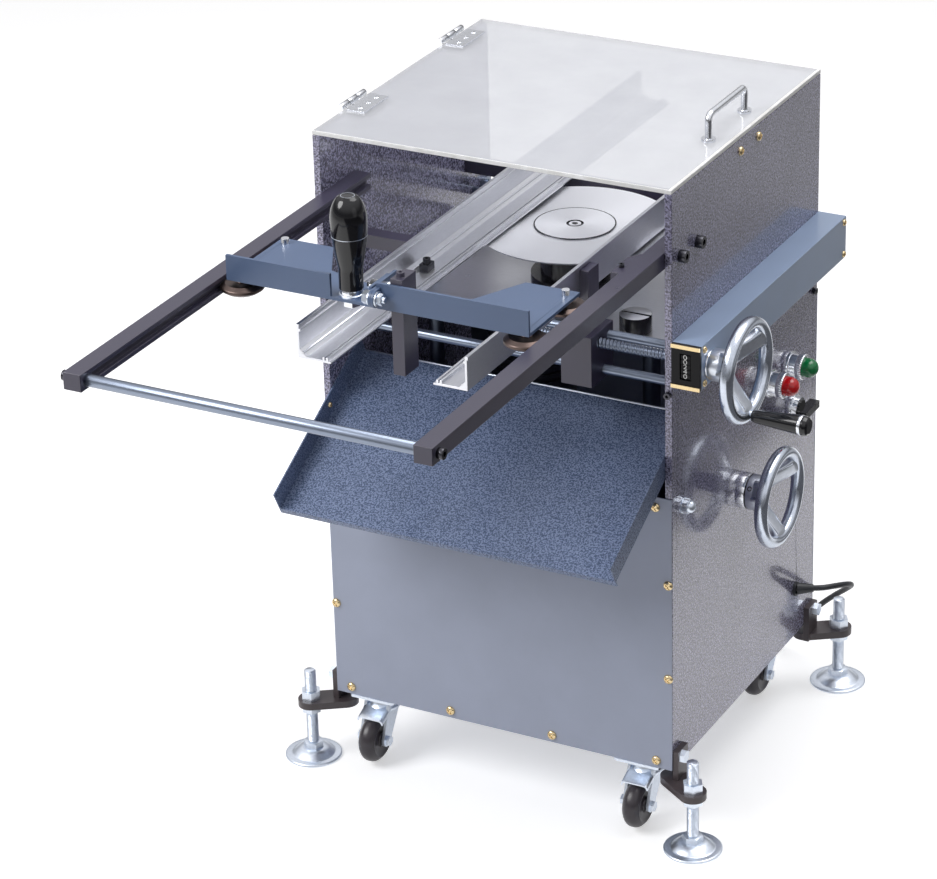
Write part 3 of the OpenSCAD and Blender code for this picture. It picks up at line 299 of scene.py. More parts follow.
FINISHES = {
    "hammered_paint": hammered("hammered_paint", (0.070, 0.064, 0.102), (0.400, 0.387, 0.560), 0.0027),
    "panel_paint": satin("panel_paint", (0.376, 0.413, 0.525)),
    "chute_paint": hammered("chute_paint", (0.055, 0.086, 0.165), (0.226, 0.286, 0.452), 0.0020, gloss=0.40,
                            flake=0.15, coat=0.2),
    "brass": metal("brass", (0.80, 0.63, 0.36), 0.26),
    "rail_aluminium": metal("rail_aluminium", (0.80, 0.81, 0.85), 0.34, along=ALONG_Y, spread=0.12),
    "black_bar": satin("black_bar", (0.045, 0.040, 0.070), 0.30, coat=0.3),
    "ground_steel": metal("ground_steel", (0.27, 0.31, 0.39), 0.32, along=ALONG_X),
    "black_screws": metal("black_screws", (0.075, 0.075, 0.085), 0.22),
    "cover_paint": satin("cover_paint", (0.300, 0.395, 0.570), 0.38, depth=0.00005, coat=0.6, skin=1.6,
                         skin_gloss=0.12),
    "counter_black": polymer("counter_black", (0.004, 0.004, 0.005), 0.34, specular_ior_level=0.2),
    "chain_steel": metal("chain_steel", (0.30, 0.30, 0.32), 0.36),
    "bracket_paint": satin("bracket_paint", (0.062, 0.048, 0.052), 0.34),
    "zinc": metal("zinc", (0.78, 0.84, 0.93), 0.32, grain=0.003, spread=0.14),
    "chrome": metal("chrome", (0.86, 0.88, 0.92), 0.16, grain=0.004, spread=0.06, depth=0.00001),
    "cord_black": polymer("cord_black", (0.020, 0.022, 0.028), 0.40),
    "clear_lid": acrylic_with_painted_sheen("clear_lid"),
    "grip_black": polymer("grip_black", (0.004, 0.004, 0.006), 0.12, specular_ior_level=0.4, coat_weight=0.3,
                          coat_roughness=0.05),
    "head_metal": metal("head_metal", (0.70, 0.71, 0.75), 0.30, along=ALONG_X),
    "motor_paint": satin("motor_paint", (0.055, 0.062, 0.080), 0.40),
    "housing_black": satin("housing_black", (0.020, 0.020, 0.023), 0.20, depth=0.00005),
    "belt_rubber": polymer("belt_rubber", (0.012, 0.012, 0.012), 0.62),
    "blade_steel": turned_steel("blade_steel", (0.93, 0.94, 0.98), 0.42, blade_axis),
    "carriage_paint": satin("carriage_paint", (0.092, 0.138, 0.246), 0.32, coat=0.05),
    "bronze": metal("bronze", (0.115, 0.085, 0.076), 0.34),
    "tyre_rubber": polymer("tyre_rubber", (0.042, 0.035, 0.042), 0.30, grain=0.0012, depth=0.00008),
    "green_lens": lens("green_lens", (0.002, 0.27, 0.070)),
    "red_lens": lens("red_lens", (0.82, 0.004, 0.008)),
}


def dress(piece, slot):
    """Gives a piece the finish of a slot of the record."""
    if not piece.material_slots:
        piece.data.materials.append(None)
    for holder in piece.material_slots:
        holder.material = FINISHES[slot]


for subpart in frame["record"]["subparts"]:
    dress(nodes[subpart["node"]], subpart["material_slot"])

# The handwheels are cast and polished, duller and bluer than the plated fittings of the same slot.
WHEEL_POLISH = metal("wheel_polish", (0.62, 0.67, 0.76), 0.20, grain=0.004, spread=0.08, depth=0.00001)
for wheel in ("width_handwheel", "height_handwheel"):
    for holder in nodes[wheel].material_slots:
        holder.material = WHEEL_POLISH
# Their spokes and hubs are duller still.
CAST_SATIN = metal("cast_satin", (0.74, 0.78, 0.85), 0.34, grain=0.004, spread=0.12, depth=0.00002)


# Mesh helpers

WELD = 0.001
SHARP_DEGREES = 40.0


class Shape:
    """Points and faces of one piece, gathered in millimetres from the cabinet's middle."""

    def __init__(self):
        self.points = []
        self.faces = []

    def grid(self, rings, closed_ends=True):
        """Skins a row of rings that have as many points each."""
        first = len(self.points)
        count = len(rings[0])
        for ring in rings:
            self.points.extend(ring)
        for i in range(len(rings) - 1):
            for k in range(count):
                a = first + i * count + k
                b = first + i * count + (k + 1) % count
                self.faces.append((a, b, b + count, a + count))
        if closed_ends:
            self.faces.append(tuple(first + k for k in reversed(range(count))))
            last = first + (len(rings) - 1) * count
            self.faces.append(tuple(last + k for k in range(count)))

    def piece(self, name, slot, body):
        """A welded mesh in a slot's finish that rides on a body."""
        mesh = bpy.data.meshes.new(name)
        mesh.from_pydata([at(*p) for p in self.points], [], self.faces)
        welded = bmesh.new()
        welded.from_mesh(mesh)
        bmesh.ops.remove_doubles(welded, verts=welded.verts, dist=WELD * MM)
        bmesh.ops.recalc_face_normals(welded, faces=welded.faces)
        welded.to_mesh(mesh)
        welded.free()
        mesh.update()
        mesh.shade_smooth()
        mesh.set_sharp_from_angle(angle=math.radians(SHARP_DEGREES))
        obj = bpy.data.objects.new(name, mesh)
        scene.collection.objects.link(obj)
        dress(obj, slot)
        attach(obj, body)
        return obj


def squared(angle, wide, high):
    """A point of a rounded rectangle with the given half width and half height."""
    c, s = math.cos(angle), math.sin(angle)
    return math.copysign(abs(c) ** 0.5, c) * wide, math.copysign(abs(s) ** 0.5, s) * high


def spin(centre, axis, outline, around=48, reach=None):
    """Rings of an outline of (radius, height) turned about an axis; reach changes a radius by angle."""
    centre = Vector(centre)
    axis = Vector(axis).normalized()
    side = axis.orthogonal().normalized()
    across = axis.cross(side)
    rings = []
    for radius, height in outline:
        ring = []
        for k in range(around):
            angle = 2 * math.pi * k / around
            r, h = reach(radius, height, angle) if reach else (radius, height)
            ring.append(centre + axis * h + (side * math.cos(angle) + across * math.sin(angle)) * r)
        rings.append(ring)
    return rings


def thread(centre, axis, major, root, pitch, start, end, around=24, per_turn=6):
    """Rings of a screw thread between two heights, with a plain chamfer at each end."""
    depth = major - root

    def reach(radius, height, angle):
        if radius != major:
            return radius, height
        share = (height / pitch - angle / (2 * math.pi)) % 1.0
        flank = abs(2.0 * share - 1.0)
        return root + depth * min(1.0, max(0.0, 1.5 * flank - 0.25)), height

    count = max(2, round((end - start) / pitch * per_turn))
    outline = [(root * 0.9, start)]
    outline += [(major, start + depth + (end - start - 2 * depth) * i / count) for i in range(count + 1)]
    outline.append((root * 0.9, end))
    return spin(centre, axis, outline, around, reach)


def hexagon(centre, axis, flats, start, end, around=48):
    """Rings of a hexagon whose corners are chamfered at both ends."""
    face = flats / 2

    def corner(angle):
        turn = (angle + math.pi / 6) % (math.pi / 3) - math.pi / 6
        return face / math.cos(turn)

    def reach(radius, height, angle):
        if radius < face:
            return radius, height
        wide = corner(angle)
        drop = (wide - face * 0.97) * 0.55
        return wide, height - drop if height == end else height + drop

    outline = [(face * 0.97, start), (face, start), (face, end), (face * 0.97, end)]
    return spin(centre, axis, outline, around, reach)


# Mains cord: out of the gland, down to the floor behind the cabinet, then wound in a coil

CORD_D = 8.0
FLOOR_LIFT = 0.3
LEAN = math.radians(21.0)
TURN = math.radians(101.3)
CORD_EXIT = Vector((250.0, 169.0, 176.0))
CORD_AWAY = Vector((math.cos(LEAN), math.sin(LEAN) * math.sin(TURN), -math.sin(LEAN) * math.cos(TURN)))
CORD_BENDS = [
    (286, 184.5, 178), (297, 199.5, 176), (304, 218, 171), (305, 237, 162), (298, 253, 150), (284, 265, 135),
    (266, 274, 118), (246, 281, 98), (226, 287, 76), (206, 292, 54), (186, 296, 34), (166, 299, 18),
    (146, 301, 8), (126, 301, 4.4), (104, 300, 4.3), (82, 300, 4.3), (54, 300, 4.3),
]
COIL_X = 30.0
COIL_Y = 350.0
COIL_OUTER = 50.0
COIL_INNER = 42.0
LAYERS = [CORD_D / 2 + FLOOR_LIFT + CORD_D * i for i in range(3)]
PLUG_END_X = 0.0
PLUG_Z = 12.4
PLUG_FACE = (COIL_X - 92.0, COIL_Y - COIL_OUTER, PLUG_Z)


def ease(value, start, end):
    """0 before start, 1 after end and a smooth rise between."""
    t = min(1.0, max(0.0, (value - start) / (end - start)))
    return t * t * (3 - 2 * t)


def coil_points(step=12):
    """Six winds: outer and inner on the floor, inner on the two above, outer on the top and the middle."""
    points = []
    for turn in range(0, 6 * 360 + 1, step):
        inward = ease(turn, 300, 390)
        outward = ease(turn, 1380, 1470)
        radius = COIL_OUTER + (COIL_INNER - COIL_OUTER) * (inward - outward)
        raised = ease(turn, 660, 750) + ease(turn, 1020, 1110) - ease(turn, 1740, 1830)
        height = LAYERS[0] + CORD_D * raised
        angle = math.radians(-90 - turn)
        points.append((COIL_X + radius * math.cos(angle), COIL_Y + radius * math.sin(angle), height))
    return points


def make_tie():
    """Strap with its buckle that holds the coil's turns together."""
    angle = math.radians(60.0)
    outward = Vector((math.cos(angle), math.sin(angle), 0.0))
    along = Vector((-math.sin(angle), math.cos(angle), 0.0))
    middle = Vector((COIL_X, COIL_Y, LAYERS[1])) + outward * ((COIL_OUTER + COIL_INNER) / 2)

    def loop(wide, high, shift, out=0.0, count=56):
        ring = []
        for k in range(count):
            x, z = squared(2 * math.pi * k / count, wide, high)
            ring.append(middle + outward * (x + out) + along * shift + Vector((0.0, 0.0, z)))
        return ring

    tie = Shape()
    strap = ((8.9, 11.2, -3.5), (9.6, 12.0, -3.5), (9.9, 12.25, -3.0), (9.9, 12.25, 3.0), (9.6, 12.0, 3.5),
             (8.9, 11.2, 3.5), (8.9, 11.2, -3.5))
    tie.grid([loop(*section) for section in strap], closed_ends=False)
    buckle = ((1.6, 3.4, -5.0), (2.0, 4.0, -4.5), (2.0, 4.0, 4.5), (1.6, 3.4, 5.0))
    tie.grid([loop(*section, out=10.6) for section in buckle])
    return tie.piece("cord_tie", "cord_black", "base")


def make_plug_blades():
    """Brass over the plug's two flat pins."""
    face = Vector(PLUG_FACE)
    half_gap = 6.35
    blades = Shape()
    for y in (-half_gap, half_gap):
        rings = []
        for x, deep, high in ((-18.0, 0.4, 2.2), (-17.0, 0.85, 3.05), (-0.5, 0.95, 3.15), (0.0, 0.95, 3.15)):
            corners = ((-deep, -high + 0.5), (-deep + 0.3, -high), (deep - 0.3, -high), (deep, -high + 0.5),
                       (deep, high - 0.5), (deep - 0.3, high), (-deep + 0.3, high), (-deep, high - 0.5))
            rings.append([face + Vector((x, y + a, b)) for a, b in corners])
        blades.grid(rings)
    return blades.piece("plug_blades", "brass", "base")


def make_cord():
    """The whole lead as one curve, with its plug, tie and brass pins."""
    points = [tuple(CORD_EXIT + CORD_AWAY * s) for s in (0.0, 13.0, 26.0)] + CORD_BENDS + coil_points()
    tail = points[-1]
    points += [(tail[0] - 12, tail[1], PLUG_Z), (PLUG_END_X, tail[1], PLUG_Z)]
    data = bpy.data.curves.new("power_lead", "CURVE")
    data.dimensions = "3D"
    data.bevel_depth = CORD_D / 2 * MM
    data.bevel_resolution = 5
    data.use_fill_caps = True
    spline = data.splines.new("POLY")
    smooth = rounded_path(points)
    spline.points.add(len(smooth) - 1)
    for knot, point in zip(spline.points, smooth):
        knot.co = (*at(*point), 1.0)
    lead = bpy.data.objects.new("power_lead", data)
    scene.collection.objects.link(lead)
    dress(lead, "cord_black")
    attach(lead, "base")
    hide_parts("power_cord", "cord_coil")
    make_tie()
    make_plug_blades()


def rounded_path(points, parts=4):
    """A smooth line through the points."""
    line = []
    for i in range(len(points) - 1):
        p0 = Vector(points[max(i - 1, 0)])
        p1 = Vector(points[i])
        p2 = Vector(points[i + 1])
        p3 = Vector(points[min(i + 2, len(points) - 1)])
        for k in range(parts):
            t = k / parts
            line.append(tuple(0.5 * (2 * p1 + (p2 - p0) * t + (2 * p0 - 5 * p1 + 4 * p2 - p3) * t * t
                                     + (3 * p1 - p0 - 3 * p2 + p3) * t ** 3)))
    line.append(tuple(points[-1]))
    return line


make_cord()


# Fine pieces

def middle_of(node):
    """The middle of a node's box, in millimetres from the cabinet's middle."""
    low, high = (Vector(c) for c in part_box(node))
    return ((low + high) / 2 - MIDDLE) / MM


def span_of(node):
    """The lowest and highest corner of a node's box, in millimetres from the cabinet's middle."""
    low, high = (Vector(c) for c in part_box(node))
    return (low - MIDDLE) / MM, (high - MIDDLE) / MM


UP = (0, 0, 1)
RIGHT = (1, 0, 0)
LEFT = (-1, 0, 0)
FORWARD = (0, -1, 0)
BACKWARD = (0, 1, 0)
PLATE_THICK = 10.0
UPPER_HUB = 20.0
LOWER_HUB = 23.0
HUB_SKIN = 0.8


def make_foot(corner):
    """Pressed pad, chamfered hexagon and threaded stud in place of the plain ones."""
    node = "foot_" + corner
    low, high = span_of(node)
    x, y, _ = middle_of(node)
    radius = (high.x - low.x) / 2
    brim, dome, stud = 4.0, 13.0, 8.0
    neck, edge = stud * 1.6, radius * 0.76
    outline = [(0.01, 0.0), (radius - 0.6, 0.0), (radius, 0.6), (radius, brim * 0.6),
               (radius - 0.9, brim * 0.9), (radius - 2.2, brim), (edge + 1.5, brim * 0.97), (edge, brim)]
    for i in range(1, 13):
        t = i / 12
        outline.append((edge + (neck - edge) * t, brim + (dome - brim) * math.sin(math.pi / 2 * t)))
    outline.append((0.01, dome))
    shape = Shape()
    shape.grid(spin((x, y, 0), UP, outline, 64))
    shape.grid(hexagon((x, y, 0), UP, stud * 3, dome - 1, dome + 9))
    shape.grid(thread((x, y, 0), UP, stud, stud - 1.1, 2.0, dome + 5, high.z))
    foot = shape.piece("levelling_" + node, "zinc", "leveller_" + corner)
    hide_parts(node)


def make_screw_bar(node, body, end):
    """Lead screw with its thread, journal, collar and sprocket."""
    low, high = span_of(node)
    _, y, z = middle_of(node)
    inner = (plate_low.x - MIDDLE.x) / MM + PLATE_THICK
    radius, pitch, depth, collar, sprocket = 7.0, 5.0, 1.3, 11.0, 15.0
    sections = [(radius, low.x, inner + 8), (collar, inner + 0.3, inner + 6.3), (radius, -inner - 2, end),
                (sprocket, 262, 266)]
    if high.x > end + 1:
        sections.append((radius - 2, end - 1, high.x))
    shape = Shape()
    origin = (0, y, z)
    for wide, left, right in sections:
        shape.grid(spin(origin, RIGHT, [(wide, left), (wide, right)], 32))
    shape.grid(thread(origin, RIGHT, radius, radius - depth, pitch, inner + 7, -inner - 1, 24, 8))
    bar = shape.piece("threaded_" + node, "ground_steel", body)
    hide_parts(node)


def make_band(name, slot, body, centre, axis, outline, around=64, reach=None):
    """A ring with the given closed outline of (radius, height)."""
    shape = Shape()
    shape.grid(spin(centre, axis, outline + outline[:1], around, reach), closed_ends=False)
    return shape.piece(name, slot, body)


def slotted_head(centre, axis, diameter, rise, turn):
    """Rings of a low domed screw head with a slot across it."""
    radius = diameter / 2

    def reach(r, height, angle):
        in_slot = abs(r * math.sin(angle - turn)) < radius * 0.17 and r < radius * 0.95
        return r, height - rise * 0.7 if in_slot else height

    outline = [(radius, -0.4), (radius, rise * 0.35)]
    for i in range(1, 15):
        share = 1 - i / 15
        outline.append((radius * share, rise * (1 - 0.65 * share ** 3)))
    return spin(centre, axis, outline, 64, reach)


def make_counter_digits():
    """White figures on the counter's number wheels, at the reading of the rest pose."""
    low, high = span_of("position_counter")
    x = low.x + 18.6
    face = low.y + 0.93
    middle = (low.z + high.z) / 2
    for k, digit in enumerate("00240"):
        data = bpy.data.curves.new("counter_digit_%d" % k, "FONT")
        data.body = digit
        data.size = 8.6 * MM
        data.align_x = "CENTER"
        data.align_y = "CENTER"
        data.extrude = 0.06 * MM
        figure = bpy.data.objects.new("counter_digit_%d" % k, data)
        scene.collection.objects.link(figure)
        spot = Matrix.Translation(at(x, face, middle + (2 - k) * 6.4))
        upright = Matrix.Rotation(math.pi / 2, 4, "X")
        figure.matrix_world = spot @ upright @ Matrix.Diagonal((1.35, 1.0, 1.0, 1.0))
        data.materials.append(FIGURE_WHITE)
        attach(figure, "base")


def make_lamp_ring(node):
    """Knurled bright ring round a button's dome."""
    _, y, z = middle_of(node)
    start = WALL_X + 17.5
    end = WALL_X + 26.4

    def knurl(radius, height, angle):
        return (radius + 0.35 * math.cos(36 * angle), height) if radius > 17.0 else (radius, height)

    outline = [(13.4, start), (16.6, start), (17.4, start + 0.8), (17.4, end - 1.2), (16.4, end), (14.0, end),
               (13.4, end - 0.6)]
    make_band(node + "_ring", "chrome", "base", (0, y, z), RIGHT, outline, 216, knurl)


def make_grip_ring():
    """Bright ferrule near the outer end of the crank's grip."""
    tip = span_of("crank_grip")[1].x
    _, y, z = middle_of("crank_grip")
    start = tip - 13.0
    end = tip - 8.6
    outline = [(12.2, start), (12.8, start + 0.3), (13.0, start + 1.0), (13.0, end - 1.0), (12.8, end - 0.3),
               (12.2, end)]
    make_band("grip_ferrule", "chrome", "grip", (0, y, z), RIGHT, outline)


def make_disc_details():
    """Painted shade: a dark ring where the shadow gap round the clamp washer falls, a dark band in the shaded
    recess of its screw and a dark hexagon on the socket's floor.
    """
    x, y, _ = middle_of("cutter_blade")
    top = span_of("blade_spindle")[1].z
    rim = 54.0
    # A dark ring of painted shade at the washer's foot.
    joint = [(rim - 1.7, top - 0.2), (rim - 1.5, top + 0.08), (rim, top + 0.08), (rim + 0.25, top - 0.1),
             (rim + 0.25, top - 1.3), (rim - 1.7, top - 1.3)]
    make_band("clamp_gap_painted_shade", "black_screws", "cutter", (x, y, 0), UP, joint, 128)
    # A dark band of painted shade in the screw's recess.
    recess_shade = [(8.1, top - 0.98), (10.9, top - 0.98), (10.95, top + 0.04), (11.5, top + 0.06), (11.5, top - 1.2),
            (8.1, top - 1.2)]
    make_band("clamp_recess_painted_shade", "black_screws", "cutter", (x, y, 0), UP, recess_shade, 64)
    shape = Shape()
    # A dark hexagon of painted shade on the socket's floor.
    shape.grid(hexagon((x, y, 0), UP, 7.8, top - 0.75, top - 0.45))
    shape.piece("clamp_socket_painted_shade", "black_screws", "cutter")


def make_hub_screw():
    """Dark set screw in the lower hub, whose black disc is both the screw's dark finish and painted shade for
    the hole it sits in, with the dark joint between hub and collar.
    """
    _, y, z = middle_of("height_handwheel")
    hub = LOWER_HUB + HUB_SKIN
    side = Vector((0.0, -0.82, 0.57)).normalized()
    place = Vector((WALL_X + 19.0, y, z)) + side * hub
    shape = Shape()
    # The dark disc is the black screw and also painted shade of its hole.
    socket = [(3.4, -0.8), (3.4, 0.10), (3.1, 0.22), (2.0, 0.22), (1.8, -0.25), (0.05, -0.3)]
    shape.grid(spin(place, side, socket, 32))
    shape.piece("hub_set_screw_painted_shade", "black_screws", "height_wheel")
    start = WALL_X + 12.4
    joint = [(hub - 0.4, start), (hub + 0.25, start), (hub + 0.25, start + 1.6), (hub - 0.4, start + 1.6)]
    make_band("hub_joint", "black_screws", "height_wheel", (0, y, z), RIGHT, joint)


def make_spokes(node, body, hub, start):
    """Cast spokes of rounded section over a handwheel's plain ones, and the smooth turned hub."""
    low, high = span_of(node)
    _, y, z = middle_of(node)
    rim_half, rim_thick, dish, spokes, around = 9.0, 16.0, 22.0, 3, 40
    plane = high.x - rim_half
    root = hub - 5.0
    seat = (high.z - low.z) / 2 - rim_thick / 2
    bend = seat - 10.5
    shape = Shape()
    for k in range(spokes):
        turn = 2 * math.pi * k / spokes
        outward = Vector((0.0, math.sin(turn), -math.cos(turn)))
        tangent = Vector((0.0, math.cos(turn), math.sin(turn)))
        rings = []
        for i in range(25):
            r = root + (seat - 5.2 - root) * i / 24
            if r < bend:
                axial = -dish - 5.5 + (dish + 3.5) * (r - root) / (bend - root)
            else:
                axial = -2.0 + 2.0 * (r - bend) / (seat - bend)
            flare = abs(i / 12 - 1) ** 4
            wide = 12.6 + 2.6 * flare
            thick = 6.5 + 0.5 * flare
            ring = []
            for j in range(around):
                across, along = squared(2 * math.pi * j / around, wide, thick)
                ring.append(Vector((plane + axial + along, y, z)) + outward * r + tangent * across)
            rings.append(ring)
        shape.grid(rings)
    end = plane - dish
    skin = hub + HUB_SKIN
    outline = [(hub - 0.6, start + 0.2), (hub + 0.5, start + 0.4), (skin, start + 0.9)]
    for a in (0.0, 0.3, 0.6, 0.9, 1.2, 1.5):
        outline.append((skin - 3.0 * (1 - math.cos(a)), end - 3.0 + 4.0 * math.sin(a)))
    for share in (0.85, 0.7, 0.55, 0.4, 0.25, 0.1, 0.003):
        outline.append((hub * share, end + 1.0 + 2.4 * (1 - share ** 2)))
    shape.grid(spin((0, y, z), RIGHT, outline, 96))
    piece = shape.piece(node + "_spokes", "chrome", body)
    piece.material_slots[0].material = CAST_SATIN


def make_hinge_screws():
    """Slotted heads on both leaves of both hinges."""
    top = span_of("lid_panel")[1].z + 2.0
    for name, y in (("front", -120.0), ("rear", 150.0)):
        moving = Shape()
        fixed = Shape()
        for i, shift in enumerate((-21.0, 0.0, 21.0)):
            moving.grid(slotted_head((-230.0, y + shift, top), UP, 8.0, 1.3, 0.6 + i))
            fixed.grid(slotted_head((-252.0, y + shift, 893.0), LEFT, 8.0, 1.3, 0.3 + 2 * i))
        moving.piece("hinge_screws_lid_" + name, "chrome", "lid")
        fixed.piece("hinge_screws_plate_" + name, "chrome", "base")


def make_lever():
    """Turned hand lever with a smooth profile, with bright zinc rings as painted highlights on its parting
    line and on its top.
    """
    low, high = span_of("carriage_handle")
    x, y = middle_of("carriage_handle")[0], middle_of("carriage_handle")[1]
    height = high.z - low.z

    def profile(share):
        swell = 0.66 + 0.34 * math.sin(math.pi * min(1.0, max(0.0, (share - 0.22) / 1.08)))
        return swell * math.sqrt(1.0 - 0.72 * max(0.0, (share - 0.72) / 0.28) ** 2.4)

    steps = 56
    scale = (high.x - low.x) / 2 / max(profile(i / steps) for i in range(steps + 1))
    tip = scale * profile(1.0)
    outline = [(scale * profile(0.0) - 0.6, 0.0)]
    outline += [(scale * profile(i / steps), max(0.5, height * i / steps)) for i in range(steps)]
    outline += [(tip, height - 0.9), (tip - 0.4, height - 0.3), (tip - 1.3, height), (0.05, height)]
    shape = Shape()
    shape.grid(spin((x, y, low.z), UP, outline, 96))
    lever = shape.piece("turned_lever", "grip_black", "carriage")
    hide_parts("carriage_handle")
    # A zinc ring on the black lever paints the highlight along its parting line.
    line_share = 0.575
    level = low.z + height * line_share
    waist = scale * profile(line_share) + 0.12
    line = [(waist - 1.2, level - 0.5), (waist, level - 0.35), (waist, level + 0.35),
            (waist - 1.2, level + 0.5)]
    make_band("lever_line_painted_highlight", "zinc", "carriage", (x, y, 0), UP, line)
    # A zinc ring on the lever's top paints the highlight of its polished top edge.
    rim = [(8.6, high.z - 0.5), (8.6, high.z + 0.02), (7.9, high.z + 0.02), (7.9, high.z - 0.5)]
    make_band("lever_top_painted_highlight", "zinc", "carriage", (x, y, 0), UP, rim)


def make_lid_edge():
    """Polished rim of the clear sheet, which reaches out over the right plate's top, in opaque white as a
    painted highlight of the sheet's bright edge.
    """
    low, high = span_of("lid_panel")
    base, top = low.z + 0.05, high.z + 0.06
    left, right, front, rear = low.x - 0.05, WALL_X - 0.4, low.y - 0.06, high.y + 0.06
    corners = ((left, front, 1, 1), (right, front, -1, 1), (right, rear, -1, -1), (left, rear, 1, -1))
    rings = []
    for x, y, inward_x, inward_y in corners + corners[:1]:
        wide = 4.2 if x == right else 1.4
        section = ((0.0, 0.0, base + 0.5), (0.5, 0.5, base), (wide, 1.4, base), (wide, 1.4, top),
                   (0.5, 0.5, top), (0.0, 0.0, top - 0.5))
        rings.append([Vector((x + inward_x * dx, y + inward_y * dy, z)) for dx, dy, z in section])
    shape = Shape()
    shape.grid(rings, closed_ends=False)
    rim = shape.piece("lid_rim_painted_highlight", "clear_lid", "lid")
    # The rim is coloured opaque white: a painted highlight.
    for holder in rim.material_slots:
        holder.material = EDGE_PAINTED_HIGHLIGHT


def make_cap_nut():
    """Bright domed nut on the right plate, over the plain hexagon."""
    place = (WALL_X, span_of("right_side_plate")[0].y + 32.0, middle_of("height_handwheel").z + 62.0)
    washer = [(10.5, 0.0), (10.5, 1.0), (9.8, 1.3), (4.0, 1.3)]
    radius, foot, rise = 8.3, 9.6, 7.5
    dome = [(radius, foot - 0.8), (radius, foot)]
    for degrees in range(8, 90, 9):
        a = math.radians(degrees)
        dome.append((radius * math.cos(a), foot + rise * math.sin(a)))
    shape = Shape()
    shape.grid(hexagon(place, RIGHT, 18.0, 1.2, 9.2))
    shape.grid(spin(place, RIGHT, washer, 48))
    shape.grid(spin(place, RIGHT, dome, 48))
    shape.piece("plate_cap_nut", "zinc", "base")


def cross_head(centre, axis, diameter):
    """Rings of a domed screw head with a cross recess."""
    radius = diameter / 2
    rise = diameter * 0.30
    width = radius * 0.15

    def reach(r, height, angle):
        arm = min(abs(r * math.cos(angle)), abs(r * math.sin(angle))) < width and r < radius * 0.62
        return r, height - rise * 0.5 if arm else height

    outline = [(radius - 0.2, -0.3), (radius, 0.5)]
    for i in range(1, 21):
        share = 1 - i / 21
        outline.append((radius * share, 0.5 + rise * math.sqrt(1 - share ** 2)))
    return spin(centre, axis, outline, 72, reach)


def make_panel_screws():
    """Brass heads over the plain ones of the panels, the plate and the chain cover."""
    low, high = span_of("cover_panels")
    cover = span_of("side_housing")[1].x
    foot = low.z + 11.0
    panel_head, plate_head, cover_head = 13.0, 12.0, 9.0
    front = Shape()
    rear = Shape()
    for x in (-227.5, -75.75, 75.75, 227.5):
        for z in (foot, low.z + 380.0):
            front.grid(cross_head((x, low.y, z), FORWARD, panel_head))
        for z in (foot, low.z + 486.0):
            rear.grid(cross_head((x, high.y, z), BACKWARD, panel_head))
    for x in (-245.0, 245.0):
        for z in (low.z + 136.0, low.z + 272.0):
            front.grid(cross_head((x, low.y, z), FORWARD, panel_head))
    side = Shape()
    for y in (-26.0, 30.0):
        side.grid(cross_head((WALL_X, y, 891.0), RIGHT, plate_head))
    for y in (-223.0, 223.0):
        for z in (662.0, 707.0):
            side.grid(cross_head((cover, y, z), RIGHT, cover_head))
    front.piece("panel_screws_front", "brass", "base")
    rear.piece("panel_screws_rear", "brass", "base")
    side.piece("panel_screws_side", "brass", "base")


def make_wheel(corner):
    """Caster wheel with a crowned tread, dished sides and a plain hub."""
    node = "wheel_" + corner
    low, high = span_of(node)
    radius = (high.z - low.z) / 2
    half = (high.x - low.x) / 2
    bore, hub, web, sink = 5.4, 10.0, 20.5, 2.0
    side = [(bore, half), (hub, half), (hub + 0.8, half - sink), (web, half - sink), (web + 1.6, half - 0.8)]
    outline = [(r, -h) for r, h in side]
    for i in range(29):
        share = i / 14 - 1
        outline.append((radius - 8.5 * abs(share) ** 2.6, share * (half - 0.4)))
    outline += side[::-1]
    tyre = make_band("tyre_" + corner, "tyre_rubber", "caster_" + corner, middle_of(node), RIGHT, outline, 96)
    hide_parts(node)


def make_hood(corner):
    """Pressed hood with turned-down sides that closes the caster's fork over the wheel."""
    centre = middle_of("wheel_" + corner)
    half, skirt, bend, sheet = 19.6, 6.5, 5.0, 2.0
    edge = [(half, -skirt)]
    for a in (0.0, 0.4, 0.8, 1.2, math.pi / 2):
        edge.append((half - bend + bend * math.cos(a), -bend + bend * math.sin(a)))
    edge += [(-x, depth) for x, depth in reversed(edge)]
    narrow = (half - sheet) / half
    inner = [(x * narrow, depth - sheet if depth > -skirt else depth) for x, depth in reversed(edge)]
    profile = ((20.0, 46.6), (14.0, 46.6), (8.0, 45.6), (2.0, 43.0), (-4.0, 40.2), (-9.0, 38.2),
               (-13.0, 36.0))
    rings = []
    for dy, dz in profile:
        rings.append([centre + Vector((x, dy, dz + depth)) for x, depth in edge + inner])
    hood = Shape()
    hood.grid(rings)
    hood.piece("fork_hood_" + corner, "zinc", "swivel_" + corner)


